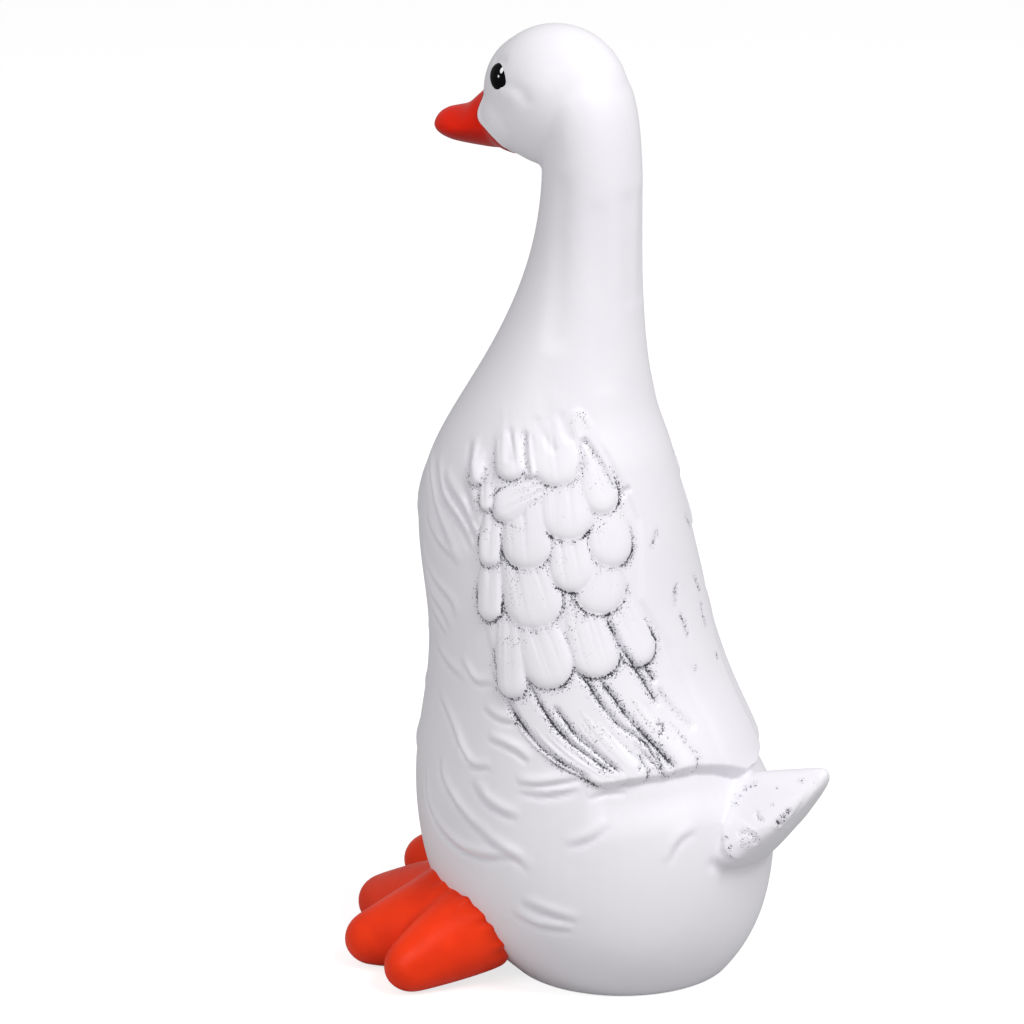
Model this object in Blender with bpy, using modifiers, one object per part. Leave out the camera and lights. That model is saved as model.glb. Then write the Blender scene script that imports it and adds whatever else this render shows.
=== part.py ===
"""Duck garden statue, cast and painted in one piece.

Run with: blender --background --python part.py
Units are metres, +Z is up and the duck looks along -Y, so its left side is at +X.
The origin is on the ground, under the middle of the statue's outline.
"""

import math

import bmesh
import bpy
import numpy as np
from mathutils import Matrix, Vector
from mathutils.bvhtree import BVHTree

# The statue's main sizes. The tables below give its places as they lie at the drawn sizes, and each
# place moves with the main size along its own axis. Feathers, folds and toes keep their thickness.
STATUE_WIDTH = 0.220
STATUE_LENGTH = 0.271
STATUE_HEIGHT = 0.489
DRAWN_WIDTH = 0.220
DRAWN_LENGTH = 0.271
DRAWN_HEIGHT = 0.489

RING_POINTS = 16
ROUNDINGS = 2

# The trunk is one upright run of level sections, from under the ground to inside the skull.
# Each one is its height, how far forward and how far back it reaches, and half its width.
TRUNK_SECTIONS = (
    (-0.022, -0.022, 0.050, 0.036),
    (-0.008, -0.034, 0.064, 0.0505),
    (0.008, -0.054, 0.079, 0.0668),
    (0.032, -0.085, 0.0895, 0.0845),
    (0.062, -0.0955, 0.0935, 0.088),
    (0.090, -0.0995, 0.0930, 0.086),
    (0.118, -0.0985, 0.0850, 0.081),
    (0.150, -0.0915, 0.0675, 0.076),
    (0.182, -0.0900, 0.0545, 0.073),
    (0.212, -0.0965, 0.0465, 0.070),
    (0.240, -0.0995, 0.0405, 0.067),
    (0.266, -0.0940, 0.0330, 0.060),
    (0.291, -0.0800, 0.0265, 0.051),
    (0.318, -0.0625, 0.0215, 0.041),
    (0.346, -0.0475, 0.0195, 0.033),
    (0.375, -0.0365, 0.0190, 0.028),
    (0.405, -0.0310, 0.0193, 0.0265),
    (0.430, -0.0305, 0.0180, 0.0272),
    (0.452, -0.0320, 0.0148, 0.0276),
    (0.470, -0.0280, 0.0080, 0.021),
)

# The skull, brow and jaw are three eggs that run into each other: centre, then half sizes.
SKULL = ((0.0, -0.0262, 0.4532), (0.0288, 0.0382, 0.0362))
BROW = ((0.0, -0.0375, 0.4545), (0.0235, 0.0283, 0.0300))
JAW = ((0.0, -0.0440, 0.4420), (0.0240, 0.0235, 0.0200))

# The bill is a run of upright sections: how far forward, top, bottom and half width. Its edge is this
# share of its height up, and a higher power draws the section in toward that edge.
BILL_SECTIONS = (
    (-0.050, 0.4560, 0.4235, 0.0165),
    (-0.062, 0.4568, 0.4235, 0.0172),
    (-0.070, 0.4512, 0.4242, 0.0162),
    (-0.074, 0.4462, 0.4245, 0.0157),
    (-0.080, 0.4440, 0.4250, 0.0150),
    (-0.086, 0.4433, 0.4258, 0.0135),
    (-0.0925, 0.4407, 0.4280, 0.0098),
    (-0.0955, 0.4365, 0.4312, 0.0045),
)
BILL_EDGE = 0.42
BILL_PINCH = 1.6

# The tail is a run of roof-shaped sections: how far back, ridge, eaves, keel and half width.
TAIL_SECTIONS = (
    (0.060, 0.109, 0.070, 0.044, 0.036),
    (0.085, 0.1155, 0.074, 0.054, 0.039),
    (0.102, 0.1195, 0.086, 0.074, 0.033),
    (0.118, 0.1225, 0.101, 0.095, 0.021),
    (0.1275, 0.1245, 0.113, 0.110, 0.010),
    (0.1315, 0.1240, 0.1185, 0.117, 0.004),
)

# The outline of a tail section, from its ridge to its keel: share of the half width, then how far down
# from the ridge to the eaves, or on from the eaves to the keel.
TAIL_ROOF = ((0.0, 0.0), (0.35, 0.18), (0.75, 0.62), (1.0, 1.0))
TAIL_UNDERSIDE = ((0.8, 0.45), (0.4, 0.9), (0.0, 1.0))

# Each toe runs from a heel inside the belly to a round tip on the ground: where its heel is, how far it
# is lifted off the ground and the radius there, then where its tip is.
LEFT_TOES = (
    (0.0585, -0.0310, 0.0080, 0.0262, 0.0960, -0.0575),
    (0.0500, -0.0430, 0.0, 0.0310, 0.0745, -0.0938),
    (0.0440, -0.0460, 0.0, 0.0300, 0.0270, -0.1150),
)
RIGHT_TOES = (
    (0.0585, -0.0310, 0.0080, 0.0262, 0.0960, -0.0575),
    (0.0500, -0.0430, 0.0, 0.0310, 0.0760, -0.0958),
    (0.0440, -0.0460, 0.0, 0.0320, 0.0385, -0.1257),
)
TOE_TIP_RADIUS = 0.0152
TOE_TAPER = 1.4
TOE_SHARES = (0.0, 0.3, 0.65, 1.0)
TOE_ROUND_ANGLES = (35, 65, 85)
SOLE_DEPTH = 0.0015

# The eye is a low dome on each side of the skull.
EYE_CENTRE = (0.0210, -0.0485, 0.4635)
EYE_HALF_SIZES = (0.0045, 0.0060, 0.0065)

# A place on the skin is its turn from straight ahead toward the duck's left, and its height.
# Each covert feather is the line from its root to its tip, and a width.
COVERTS = (
    (((109, 0.2805), (121, 0.2516)), 0.0190),
    (((83, 0.2632), (67, 0.2510)), 0.0175),
    (((97, 0.2652), (101, 0.2396)), 0.0275),
    (((79, 0.2560), (85, 0.2251)), 0.0255),
    (((67, 0.2495), (69, 0.2246)), 0.0120),
    (((121, 0.2540), (125, 0.2252)), 0.0235),
    (((100, 0.2420), (106, 0.2144)), 0.0230),
    (((119, 0.2289), (116, 0.2026)), 0.0275),
    (((82, 0.2280), (92, 0.1958)), 0.0300),
    (((69, 0.2260), (71, 0.1971)), 0.0145),
    (((110, 0.2039), (119, 0.1723)), 0.0260),
    (((88, 0.2008), (100, 0.1670)), 0.0265),
    (((79, 0.1970), (83, 0.1595)), 0.0170),
    (((128, 0.2057), (140, 0.1759)), 0.0205),
)
COVERT_THICKNESS = 0.0038

# The topmost ones grow out of the shoulder, in the same form.
SHOULDER_FEATHERS = (
    (((51, 0.2841), (57, 0.2631)), 0.0085),
    (((59, 0.2700), (65, 0.2517)), 0.0085),
    (((60, 0.2952), (72, 0.2678)), 0.0160),
    (((70, 0.2953), (80, 0.2698)), 0.0065),
    (((82, 0.3021), (94, 0.2658)), 0.0265),
)
SHOULDER_ROOT_RISE = 0.05

# The flight feathers sweep down and back to the hem.
FLIGHT_FEATHERS = (
    (((81, 0.1614), (85, 0.1501), (92, 0.1401), (102, 0.1316), (113, 0.1253), (122, 0.1197)), 0.0045),
    (((85, 0.1622), (91, 0.1511), (98, 0.1409), (107, 0.1320), (116, 0.1254), (125, 0.1189)), 0.0062),
    (((94, 0.1659), (100, 0.1534), (108, 0.1417), (117, 0.1317), (128, 0.1213)), 0.0085),
    (((103, 0.1678), (109, 0.1564), (117, 0.1436), (125, 0.1321), (134, 0.1208)), 0.0135),
    (((112, 0.1716), (120, 0.1611), (129, 0.1492), (136, 0.1373), (145, 0.1230)), 0.0056),
    (((123, 0.1722), (132, 0.1612), (141, 0.1463), (150, 0.1276), (153, 0.1218)), 0.0145),
)
FLIGHT_THICKNESS = 0.0030
FLIGHT_ROOT_RISE = 0.15

# A covert's root lies under the feather above it: how far back it goes on, as a share of its length, and
# how thick it is there, as a share of its tip's thickness.
COVERED_ROOT = 0.40
COVERED_ROOT_RISE = 0.30
ROOT_ROUND = 0.30
ROOT_NARROWING = 0.30
NARROWED_LENGTH = 0.7
PILLOW = 2.6

# Cuts between the flight feathers and at the shoulder, each a line of places.
WING_CUTS = (
    ((79, 0.1610), (84, 0.1513), (90, 0.1431), (96, 0.1362),
     (103, 0.1310), (109, 0.1270), (115, 0.1232)),
    ((89, 0.1720), (90, 0.1668), (94, 0.1581), (100, 0.1482),
     (106, 0.1409), (110, 0.1373), (120, 0.1285), (124, 0.1256)),
    ((99, 0.1585), (104, 0.1511), (109, 0.1436), (115, 0.1374), (121, 0.1310), (126, 0.1255)),
    ((107, 0.1762), (113, 0.1691), (118, 0.1599), (125, 0.1495),
     (131, 0.1440), (136, 0.1391), (139, 0.1319), (141, 0.1264)),
    ((117, 0.1720), (123, 0.1634), (129, 0.1529), (136, 0.1428), (141, 0.1353), (147, 0.1244)),
    ((120, 0.2010), (123, 0.1961), (127, 0.1869), (132, 0.1788),
     (137, 0.1706), (141, 0.1625), (144, 0.1556)),
    ((139, 0.1766), (144, 0.1670)),
    ((145, 0.1642), (150, 0.1533), (158, 0.1416)),
    ((104, 0.2896), (113, 0.2801), (122, 0.2704), (128, 0.2627)),
    ((104, 0.2890), (105, 0.2812), (104, 0.2709)),
    ((71, 0.2925), (74, 0.2811), (79, 0.2703)),
)
CUT_DEPTH = 0.0016
CUT_WIDTH = 0.0016

# The wing stands out from the breast along this front edge, from the shoulder to the hem.
WING_EDGE = (
    (58, 0.294), (62, 0.270), (66, 0.245), (66, 0.222), (67, 0.198),
    (73, 0.176), (79, 0.161), (90, 0.1431), (103, 0.131), (115, 0.1232), (121, 0.1205),
)
WING_THICKNESS = 0.0010
WING_EDGE_SOFTNESS = 3

# The right wing's feathers end at this turn, because the back is smooth where it shows beyond the left one.
RIGHT_WING_END = 138
RIGHT_WING_SOFTNESS = 12

# Behind the wing the back is one smooth cape. This is its front edge, from the shoulder to the hem.
CAPE_EDGE = (
    (104, 0.292), (117, 0.280), (130, 0.262), (138, 0.247), (136, 0.227),
    (134, 0.208), (142, 0.195), (150, 0.1815), (156, 0.161), (160, 0.142), (162, 0.110),
)
CAPE_THICKNESS = 0.0022
CAPE_EDGE_SOFTNESS = 9
CAPE_TOP = 0.300
CAPE_FADE = 0.030
PLATE_END_SOFTNESS = 0.0020

# Toward its hem the cape comes out, by this much between these heights and from this turn on.
CAPE_FLARE = 0.0024
CAPE_FLARE_HEIGHTS = (0.170, 0.128)
CAPE_FLARE_TURN = 140
CAPE_FLARE_SOFTNESS = 25

# The wings and the cape end below in one hem, which goes round behind above the tail.
HEM_LINE = (
    (92, 0.139), (107, 0.1275), (117, 0.1215), (125, 0.1222), (129, 0.1230), (135, 0.1235), (143, 0.1240),
    (149, 0.1252), (156, 0.1250), (164, 0.1228), (173, 0.1181), (180, 0.1130),
)
HEM_DEPTH = 0.0030
HEM_WIDTH = 0.0036
HEM_RECOVERY = 0.030
HEM_START = 112
HEM_START_SOFTNESS = 10

# Folds in the breast and belly. Each has a crease with a soft bank beside it.
FOLDS = (
    ((19, 0.2666), (31, 0.2571), (39, 0.2461), (45, 0.2373), (53, 0.2249)),
    ((30, 0.2681), (37, 0.2597), (43, 0.2517), (51, 0.2448), (57, 0.2374), (61, 0.2291)),
    ((38, 0.2647), (44, 0.2585), (52, 0.2516), (58, 0.2432), (62, 0.2349), (63, 0.2260)),
    ((49, 0.2662), (54, 0.2584), (58, 0.2504), (62, 0.2423)),
    ((33, 0.2401), (39, 0.2329), (46, 0.2272), (52, 0.2237), (55, 0.2209)),
    ((29, 0.2231), (35, 0.2130), (43, 0.2062), (51, 0.2007), (54, 0.1932)),
    ((30, 0.2067), (36, 0.1992), (45, 0.1935), (51, 0.1853)),
    ((35, 0.191), (42, 0.1865), (49, 0.1815)),
    ((46, 0.284), (51, 0.271), (57, 0.263)),
    ((40, 0.1725), (51, 0.166), (60, 0.1625)),
    ((57, 0.173), (65, 0.163), (74, 0.1645)),
    ((70, 0.151), (77, 0.147), (85, 0.1465)),
    ((44, 0.149), (53, 0.139), (62, 0.1245), (68, 0.1195), (76, 0.1215)),
    ((73, 0.136), (84, 0.133), (91, 0.128)),
    ((50, 0.119), (52, 0.1085), (61, 0.0975), (70, 0.090), (78, 0.0855)),
    ((68, 0.112), (75, 0.104), (82, 0.1005), (89, 0.099)),
    ((40, 0.108), (43, 0.0925), (52, 0.0815), (65, 0.075), (77, 0.075), (87, 0.0785), (94, 0.073)),
    ((74, 0.086), (81, 0.0825), (91, 0.0775)),
    ((87, 0.1165), (95, 0.117), (105, 0.120), (112, 0.1225)),
    ((88, 0.112), (100, 0.113), (111, 0.117)),
    ((114, 0.1125), (120, 0.1155), (128, 0.116)),
    ((107, 0.088), (115, 0.0925), (122, 0.1005)),
    ((141, 0.079), (145, 0.089), (152, 0.094)),
    ((91, 0.0555), (100, 0.052), (111, 0.0485)),
    ((87, 0.0485), (96, 0.0435), (109, 0.043)),
    ((6, 0.262), (12, 0.246), (20, 0.232)),
    ((2, 0.232), (9, 0.216), (18, 0.205)),
    ((4, 0.188), (12, 0.176), (22, 0.170)),
    ((2, 0.158), (10, 0.146), (21, 0.140)),
    ((6, 0.126), (14, 0.114), (26, 0.108)),
)
FOLD_LENGTH = 0.045
FOLD_DEPTH = 0.0018
FOLD_WIDTH = 0.0021
BANK_SHARE = 0.75
BANK_WIDTH = 0.0030

# The tail's raised face starts at a step, and a roll runs round under it.
TAIL_STEP = (
    (0.0154, 0.0882, 0.1055), (0.0187, 0.0879, 0.1020), (0.0224, 0.0856, 0.0983), (0.0282, 0.0844, 0.0935),
    (0.0297, 0.0853, 0.0877), (0.0335, 0.0899, 0.0807), (0.0296, 0.0955, 0.0772),
)
TAIL_STEP_HEIGHT = 0.0020
TAIL_STEP_WIDTH = 0.0018
TAIL_STEP_FADE = 0.45
TAIL_FACE_REACH = 0.022
TAIL_ROLL = (
    (0.0376, 0.0818, 0.0774), (0.0308, 0.0893, 0.0721), (0.0172, 0.0949, 0.0695), (0.0, 0.0971, 0.0690),
)
TAIL_ROLL_DEPTH = 0.0014
TAIL_ROLL_WIDTH = 0.0030

# Carving fades away where the skin leaves the trunk for a foot or the tail, over this distance.
CARVING_FADE = 0.0040
CURVE_STEPS = 5

# The clay is run together on a grid of this size and then softened, and last made of fewer triangles.
VOXEL = 0.0020
SMOOTH_PASSES = 7
FINISHED_TRIANGLES = 11600
SHARP_ANGLE = 50

# The underside is pressed flat where it looks down and comes this near the ground.
PRESSED_HEIGHT = 0.0010
LOOKS_DOWN = -0.9

STATUE_NAME = "duck_statue"

PAINTS = {
    "white_paint": ((0.86, 0.86, 0.88, 1.0), 0.42),
    "red_paint": ((0.80, 0.035, 0.01, 1.0), 0.38),
    "black_paint": ((0.005, 0.005, 0.006, 1.0), 0.12),
}


def clear_scene():
    for old in list(bpy.data.objects):
        bpy.data.objects.remove(old)


def new_collection(name):
    made = bpy.data.collections.new(name)
    bpy.context.scene.collection.children.link(made)
    return made


def fitted(across, forward, up):
    """A place of the tables, moved to where it lies at the main sizes."""
    return Vector((
        across * STATUE_WIDTH / DRAWN_WIDTH,
        forward * STATUE_LENGTH / DRAWN_LENGTH,
        up * STATUE_HEIGHT / DRAWN_HEIGHT,
    ))


def loft(name, rings, collection):
    """A closed soft form through rings of points, rounded by subdivision."""
    bm = bmesh.new()
    loops = [[bm.verts.new(point) for point in ring] for ring in rings]
    for low, high in zip(loops, loops[1:]):
        for i in range(len(low)):
            j = (i + 1) % len(low)
            bm.faces.new((low[i], low[j], high[j], high[i]))
    bm.faces.new(list(reversed(loops[0])))
    bm.faces.new(loops[-1])
    bmesh.ops.recalc_face_normals(bm, faces=bm.faces)
    mesh = bpy.data.meshes.new(name)
    bm.to_mesh(mesh)
    bm.free()
    made = bpy.data.objects.new(name, mesh)
    collection.objects.link(made)
    rounding = made.modifiers.new("rounding", "SUBSURF")
    rounding.levels = rounding.render_levels = ROUNDINGS
    return made


def ring_angles():
    return [2 * math.pi * i / RING_POINTS for i in range(RING_POINTS)]


def drawn_in():
    """How much of a ring's radius subdivision keeps, to make the rings larger by."""
    return (2 + math.cos(2 * math.pi / RING_POINTS)) / 3


def trunk(collection):
    rings = []
    for height, front, back, half_width in TRUNK_SECTIONS:
        middle = (front + back) / 2
        half_depth = (back - front) / 2
        rings.append([
            fitted(
                half_width * math.sin(a) / drawn_in(),
                middle - half_depth * math.cos(a) / drawn_in(),
                height,
            )
            for a in ring_angles()
        ])
    return loft("trunk", rings, collection)


def pinched(value):
    """Draws a round section in toward a lens with an edge at each side."""
    return math.copysign(abs(value) ** BILL_PINCH, value)


def bill(collection):
    rings = []
    for forward, top, bottom, half_width in BILL_SECTIONS:
        edge = bottom + (top - bottom) * BILL_EDGE
        rings.append([
            fitted(
                half_width * math.sin(a) / drawn_in(),
                forward,
                edge + (top - edge if math.cos(a) > 0 else edge - bottom) * pinched(math.cos(a)) / drawn_in(),
            )
            for a in ring_angles()
        ])
    return loft("bill", rings, collection)


def tail(collection):
    rings = []
    for back, ridge, eaves, keel, half_width in TAIL_SECTIONS:
        near_half = [(share, ridge + (eaves - ridge) * down) for share, down in TAIL_ROOF]
        near_half += [(share, eaves + (keel - eaves) * down) for share, down in TAIL_UNDERSIDE]
        far_half = [(-share, height) for share, height in near_half[-2:0:-1]]
        rings.append([fitted(share * half_width, back, height) for share, height in near_half + far_half])
    return loft("tail", rings, collection)


def toe(name, values, side, collection):
    """One toe: round sections along its axis, closed by a round tip."""
    heel_across, heel_forward, heel_lift, heel_radius, tip_across, tip_forward = values
    heel = fitted(heel_across * side, heel_forward, 0) + Vector((0, 0, heel_lift + heel_radius - SOLE_DEPTH))
    end = fitted(tip_across * side, tip_forward, 0) + Vector((0, 0, TOE_TIP_RADIUS - SOLE_DEPTH))
    along = (end - heel).normalized()
    across = along.cross(Vector((0, 0, 1))).normalized()
    up = across.cross(along)
    length = (end - heel).length
    sections = []
    for share in TOE_SHARES:
        radius = heel_radius + (TOE_TIP_RADIUS - heel_radius) * share ** TOE_TAPER
        sections.append((heel + along * length * share, radius))
    for angle in TOE_ROUND_ANGLES:
        turn = math.radians(angle)
        sections.append((end + along * TOE_TIP_RADIUS * math.sin(turn), TOE_TIP_RADIUS * math.cos(turn)))
    return loft(name, [
        [centre + (across * math.sin(a) + up * math.cos(a)) * radius / drawn_in() for a in ring_angles()]
        for centre, radius in sections
    ], collection)


def egg(name, centre, half_sizes, collection):
    bm = bmesh.new()
    bmesh.ops.create_uvsphere(
        bm, u_segments=24, v_segments=16, radius=1.0,
        matrix=Matrix.Translation(fitted(*centre)) @ Matrix.Diagonal((*fitted(*half_sizes), 1)),
    )
    mesh = bpy.data.meshes.new(name)
    bm.to_mesh(mesh)
    bm.free()
    made = bpy.data.objects.new(name, mesh)
    collection.objects.link(made)
    return made


def clay(collection):
    """Every form that the statue is built up from, still as separate lumps."""
    lumps = [
        trunk(collection),
        egg("skull", *SKULL, collection),
        egg("brow", *BROW, collection),
        egg("jaw", *JAW, collection),
        bill(collection),
        tail(collection),
    ]
    for side_name, side, toes in (("left", 1, LEFT_TOES), ("right", -1, RIGHT_TOES)):
        for number, values in enumerate(toes):
            lumps.append(toe(f"{side_name}_toe_{number}", values, side, collection))
        eye_centre = (EYE_CENTRE[0] * side, *EYE_CENTRE[1:])
        lumps.append(egg(f"{side_name}_eye", eye_centre, EYE_HALF_SIZES, collection))
    return lumps


def evaluated_mesh(made):
    bpy.context.view_layer.update()
    graph = bpy.context.evaluated_depsgraph_get()
    return bpy.data.meshes.new_from_object(made.evaluated_get(graph))


def tree_of(lumps):
    """A search tree over the faces of some lumps."""
    points = []
    faces = []
    for lump in lumps:
        mesh = evaluated_mesh(lump)
        first = len(points)
        points += [vertex.co.copy() for vertex in mesh.vertices]
        faces += [[first + i for i in face.vertices] for face in mesh.polygons]
        bpy.data.meshes.remove(mesh)
    return BVHTree.FromPolygons(points, faces)


def guide(lumps):
    """Keeps the lumps as wire guides, which aren't part of the statue."""
    for lump in lumps:
        lump.hide_render = True
        lump.display_type = "WIRE"


def joined(lumps, collection):
    """All lumps run together into one closed, softly blended skin."""
    bm = bmesh.new()
    for lump in lumps:
        mesh = evaluated_mesh(lump)
        bm.from_mesh(mesh)
        bpy.data.meshes.remove(mesh)
    mesh = bpy.data.meshes.new("joined_lumps")
    bm.to_mesh(mesh)
    bm.free()
    made = bpy.data.objects.new("joined_lumps", mesh)
    collection.objects.link(made)
    remesh = made.modifiers.new("run_together", "REMESH")
    remesh.mode = "VOXEL"
    remesh.voxel_size = VOXEL
    soften = made.modifiers.new("soften", "SMOOTH")
    soften.iterations = SMOOTH_PASSES
    skin = evaluated_mesh(made)
    bpy.data.objects.remove(made)
    return skin


def on_skin(body, turn, height):
    """The outermost point of the trunk's skin at a turn and height."""
    angle = math.radians(turn)
    outward = fitted(math.sin(angle), -math.cos(angle), 0).normalized()
    level = fitted(0, 0, height)
    place = body.ray_cast(outward + level, -outward)[0]
    return np.array(place if place is not None else level)


def curve_on_skin(body, places):
    return curve_through([on_skin(body, *place) for place in places])


def curve_through(knots):
    """A smooth curve through some points, as many short runs."""
    knots = [np.array(knot) for knot in knots]
    knots = [2 * knots[0] - knots[1]] + knots + [2 * knots[-1] - knots[-2]]
    curve = []
    for before, start, end, after in zip(knots, knots[1:], knots[2:], knots[3:]):
        for step in range(CURVE_STEPS):
            t = step / CURVE_STEPS
            curve.append(0.5 * (
                2 * start + (end - before) * t
                + (2 * before - 5 * start + 4 * end - after) * t ** 2
                + (3 * start - before - 3 * end + after) * t ** 3
            ))
    return np.array(curve + [knots[-2]])


def beside_curve(points, normals, curve):
    """How far along a curve and how far aside of it each point is, its gap to it and the curve's length."""
    steps = np.linalg.norm(np.diff(curve, axis=0), axis=1)
    starts = np.concatenate([[0], np.cumsum(steps)])
    best = np.full(len(points), np.inf)
    along = np.zeros(len(points))
    aside = np.zeros(len(points))
    for number, (start, step) in enumerate(zip(curve, steps)):
        run = (curve[number + 1] - start) / step
        offset = points - start
        forward = offset @ run
        held = np.clip(forward, 0, step)
        gap = np.linalg.norm(offset - held[:, None] * run, axis=1)
        if number == 0:
            held = np.minimum(forward, step)
        if number == len(steps) - 1:
            held = np.maximum(forward, 0)
        across = np.cross(normals, run)
        across /= np.maximum(np.linalg.norm(across, axis=1, keepdims=True), 1e-6)
        closer = gap < best
        best[closer] = gap[closer]
        along[closer] = starts[number] + held[closer]
        aside[closer] = (offset * across).sum(axis=1)[closer]
    return along, aside, best, starts[-1]


def smooth_step(values):
    values = np.clip(values, 0, 1)
    return values * values * (3 - 2 * values)


def charted(points):
    """The turn and height that points have in the tables, whatever the main sizes are."""
    scale = np.array(fitted(1, 1, 1))
    drawn = points / scale
    return np.degrees(np.arctan2(drawn[:, 0], -drawn[:, 1])), drawn[:, 2]


def plate_height(points):
    """The plain plate of the wing and the smooth cape behind it, both with a soft front edge."""
    turns, heights = charted(points)
    below_top = smooth_step((CAPE_TOP - heights) / CAPE_FADE)
    height = np.zeros(len(points))
    for edge, thickness, softness in (
        (WING_EDGE, WING_THICKNESS, WING_EDGE_SOFTNESS),
        (CAPE_EDGE, CAPE_THICKNESS, CAPE_EDGE_SOFTNESS),
    ):
        edge_turns, edge_heights = zip(*edge)
        front = np.interp(heights, edge_heights[::-1], edge_turns[::-1])
        over_front = smooth_step((turns - front) / softness)
        above_end = smooth_step((heights - edge_heights[-1]) / PLATE_END_SOFTNESS)
        height = np.maximum(height, thickness * over_front * below_top * above_end)
    return height


def feather_height(points, normals, curve, width, thickness, root_rise):
    """A pillow-shaped scale, thin at its root and thick at its round tip."""
    along, aside, _, length = beside_curve(points, normals, curve)
    tip_round = min(width / 2, length)
    narrowing = ROOT_NARROWING * (1 - smooth_step(along / length / NARROWED_LENGTH))
    half = width / 2 * (1 - narrowing)
    past_tip = np.maximum(along - (length - tip_round), 0) / tip_round
    past_root = np.maximum(-along, 0) / (length * ROOT_ROUND)
    reach = np.sqrt((aside / half) ** 2 + past_tip ** 2 + past_root ** 2)
    rise = root_rise + (1 - root_rise) * np.clip(along / length, 0, 1)
    return thickness * rise * np.sqrt(np.clip(1 - reach ** PILLOW, 0, 1))


def groove(points, normals, curve, depth, width):
    gap = beside_curve(points, normals, curve)[2]
    return -depth * np.exp(-(gap / width) ** 2)


def flare_height(points):
    """Brings the back of the cape out toward its hem."""
    turns, heights = charted(points)
    top, bottom = CAPE_FLARE_HEIGHTS
    lower = smooth_step((top - heights) / (top - bottom))
    return CAPE_FLARE * lower * smooth_step((turns - CAPE_FLARE_TURN) / CAPE_FLARE_SOFTNESS)


def wing_relief(points, normals, on_right, body):
    """Plate, cape, feathers and cuts of a side, as a height over the skin."""
    plain = plate_height(points)
    height = plain.copy()
    for feathers, thickness, root_rise, covered in (
        (SHOULDER_FEATHERS, COVERT_THICKNESS, SHOULDER_ROOT_RISE, 0),
        (COVERTS, COVERT_THICKNESS, COVERED_ROOT_RISE, COVERED_ROOT),
        (FLIGHT_FEATHERS, FLIGHT_THICKNESS, FLIGHT_ROOT_RISE, 0),
    ):
        for places, width in feathers:
            curve = curve_on_skin(body, places)
            curve[0] -= (curve[-1] - curve[0]) * covered
            height = np.maximum(height, feather_height(points, normals, curve, width, thickness, root_rise))
    for cut in WING_CUTS:
        height += groove(points, normals, curve_on_skin(body, cut), CUT_DEPTH, CUT_WIDTH)
    near_front = smooth_step((RIGHT_WING_END - charted(points)[0]) / RIGHT_WING_SOFTNESS)
    height = plain + (height - plain) * np.where(on_right, near_front, 1)
    return height + flare_height(points)


def hemmed(height, points):
    """Ends the wing and the cape in a ledge, draws the skin in below it and brings it back lower down."""
    turns, heights = charted(points)
    hem_turns, hem_heights = zip(*HEM_LINE)
    below = np.interp(turns, hem_turns, hem_heights) - heights
    step = np.clip(below / HEM_WIDTH, 0, 1)
    recover = smooth_step((HEM_RECOVERY - below) / (HEM_RECOVERY * 2 / 3))
    beside = smooth_step((turns - HEM_START) / HEM_START_SOFTNESS)
    return height * (1 - step * beside) - HEM_DEPTH * step * recover * beside


def fold_relief(points, normals, body):
    """Creases that fade out at both ends, each with a soft bank along one side."""
    height = np.zeros(len(points))
    for places in FOLDS:
        along, aside, gap, length = beside_curve(points, normals, curve_on_skin(body, places))
        taper = np.sin(math.pi * np.clip(along / length, 0, 1)) ** 0.6 * (gap < BANK_WIDTH * 4)
        crease = -np.exp(-(aside / FOLD_WIDTH) ** 2)
        bank = BANK_SHARE * np.exp(-((aside - BANK_WIDTH) / BANK_WIDTH) ** 2)
        height += FOLD_DEPTH * min(1, (length / FOLD_LENGTH) ** 0.7) * (crease + bank) * taper
    return height


def tail_relief(points, normals):
    """The raised face of the tail and the roll under it."""
    step = curve_through([fitted(*place) for place in TAIL_STEP])
    along, aside, gap, length = beside_curve(points, normals, step)
    share = along / length
    ends = smooth_step(share / TAIL_STEP_FADE) * smooth_step((1.08 - share) / 0.15)
    face = smooth_step(aside / TAIL_STEP_WIDTH) * np.exp(-(aside / TAIL_FACE_REACH) ** 2)
    raised = TAIL_STEP_HEIGHT * face * ends * (gap < 2 * TAIL_FACE_REACH)
    roll = curve_through([fitted(*place) for place in TAIL_ROLL])
    return raised + groove(points, normals, roll, TAIL_ROLL_DEPTH, TAIL_ROLL_WIDTH)


def sculpt(skin, body):
    """Raises the feathers and sinks the folds on both sides."""
    count = len(skin.vertices)
    points = np.empty(count * 3)
    skin.vertices.foreach_get("co", points)
    points = points.reshape(-1, 3)
    normals = np.array([vertex.normal[:] for vertex in skin.vertices])
    left = points.copy()
    left_normals = normals.copy()
    on_right = points[:, 0] < 0
    left[on_right, 0] *= -1
    left_normals[on_right, 0] *= -1
    height = hemmed(wing_relief(left, left_normals, on_right, body), left)
    height += fold_relief(left, left_normals, body)
    nearest = np.array([body.find_nearest(Vector(point))[3] for point in points])
    height *= smooth_step((2 * CARVING_FADE - nearest) / CARVING_FADE)
    height += tail_relief(left, left_normals)
    points += normals * height[:, None]
    skin.vertices.foreach_set("co", points.ravel())
    skin.update()


def thinned(skin, collection):
    """The skin with fewer triangles, which stay closest together where it is carved."""
    made = bpy.data.objects.new("thinned_skin", skin)
    collection.objects.link(made)
    thin = made.modifiers.new("thin", "DECIMATE")
    triangles = sum(len(face.vertices) - 2 for face in skin.polygons)
    thin.ratio = FINISHED_TRIANGLES / triangles
    finished = evaluated_mesh(made)
    bpy.data.objects.remove(made)
    return finished


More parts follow.
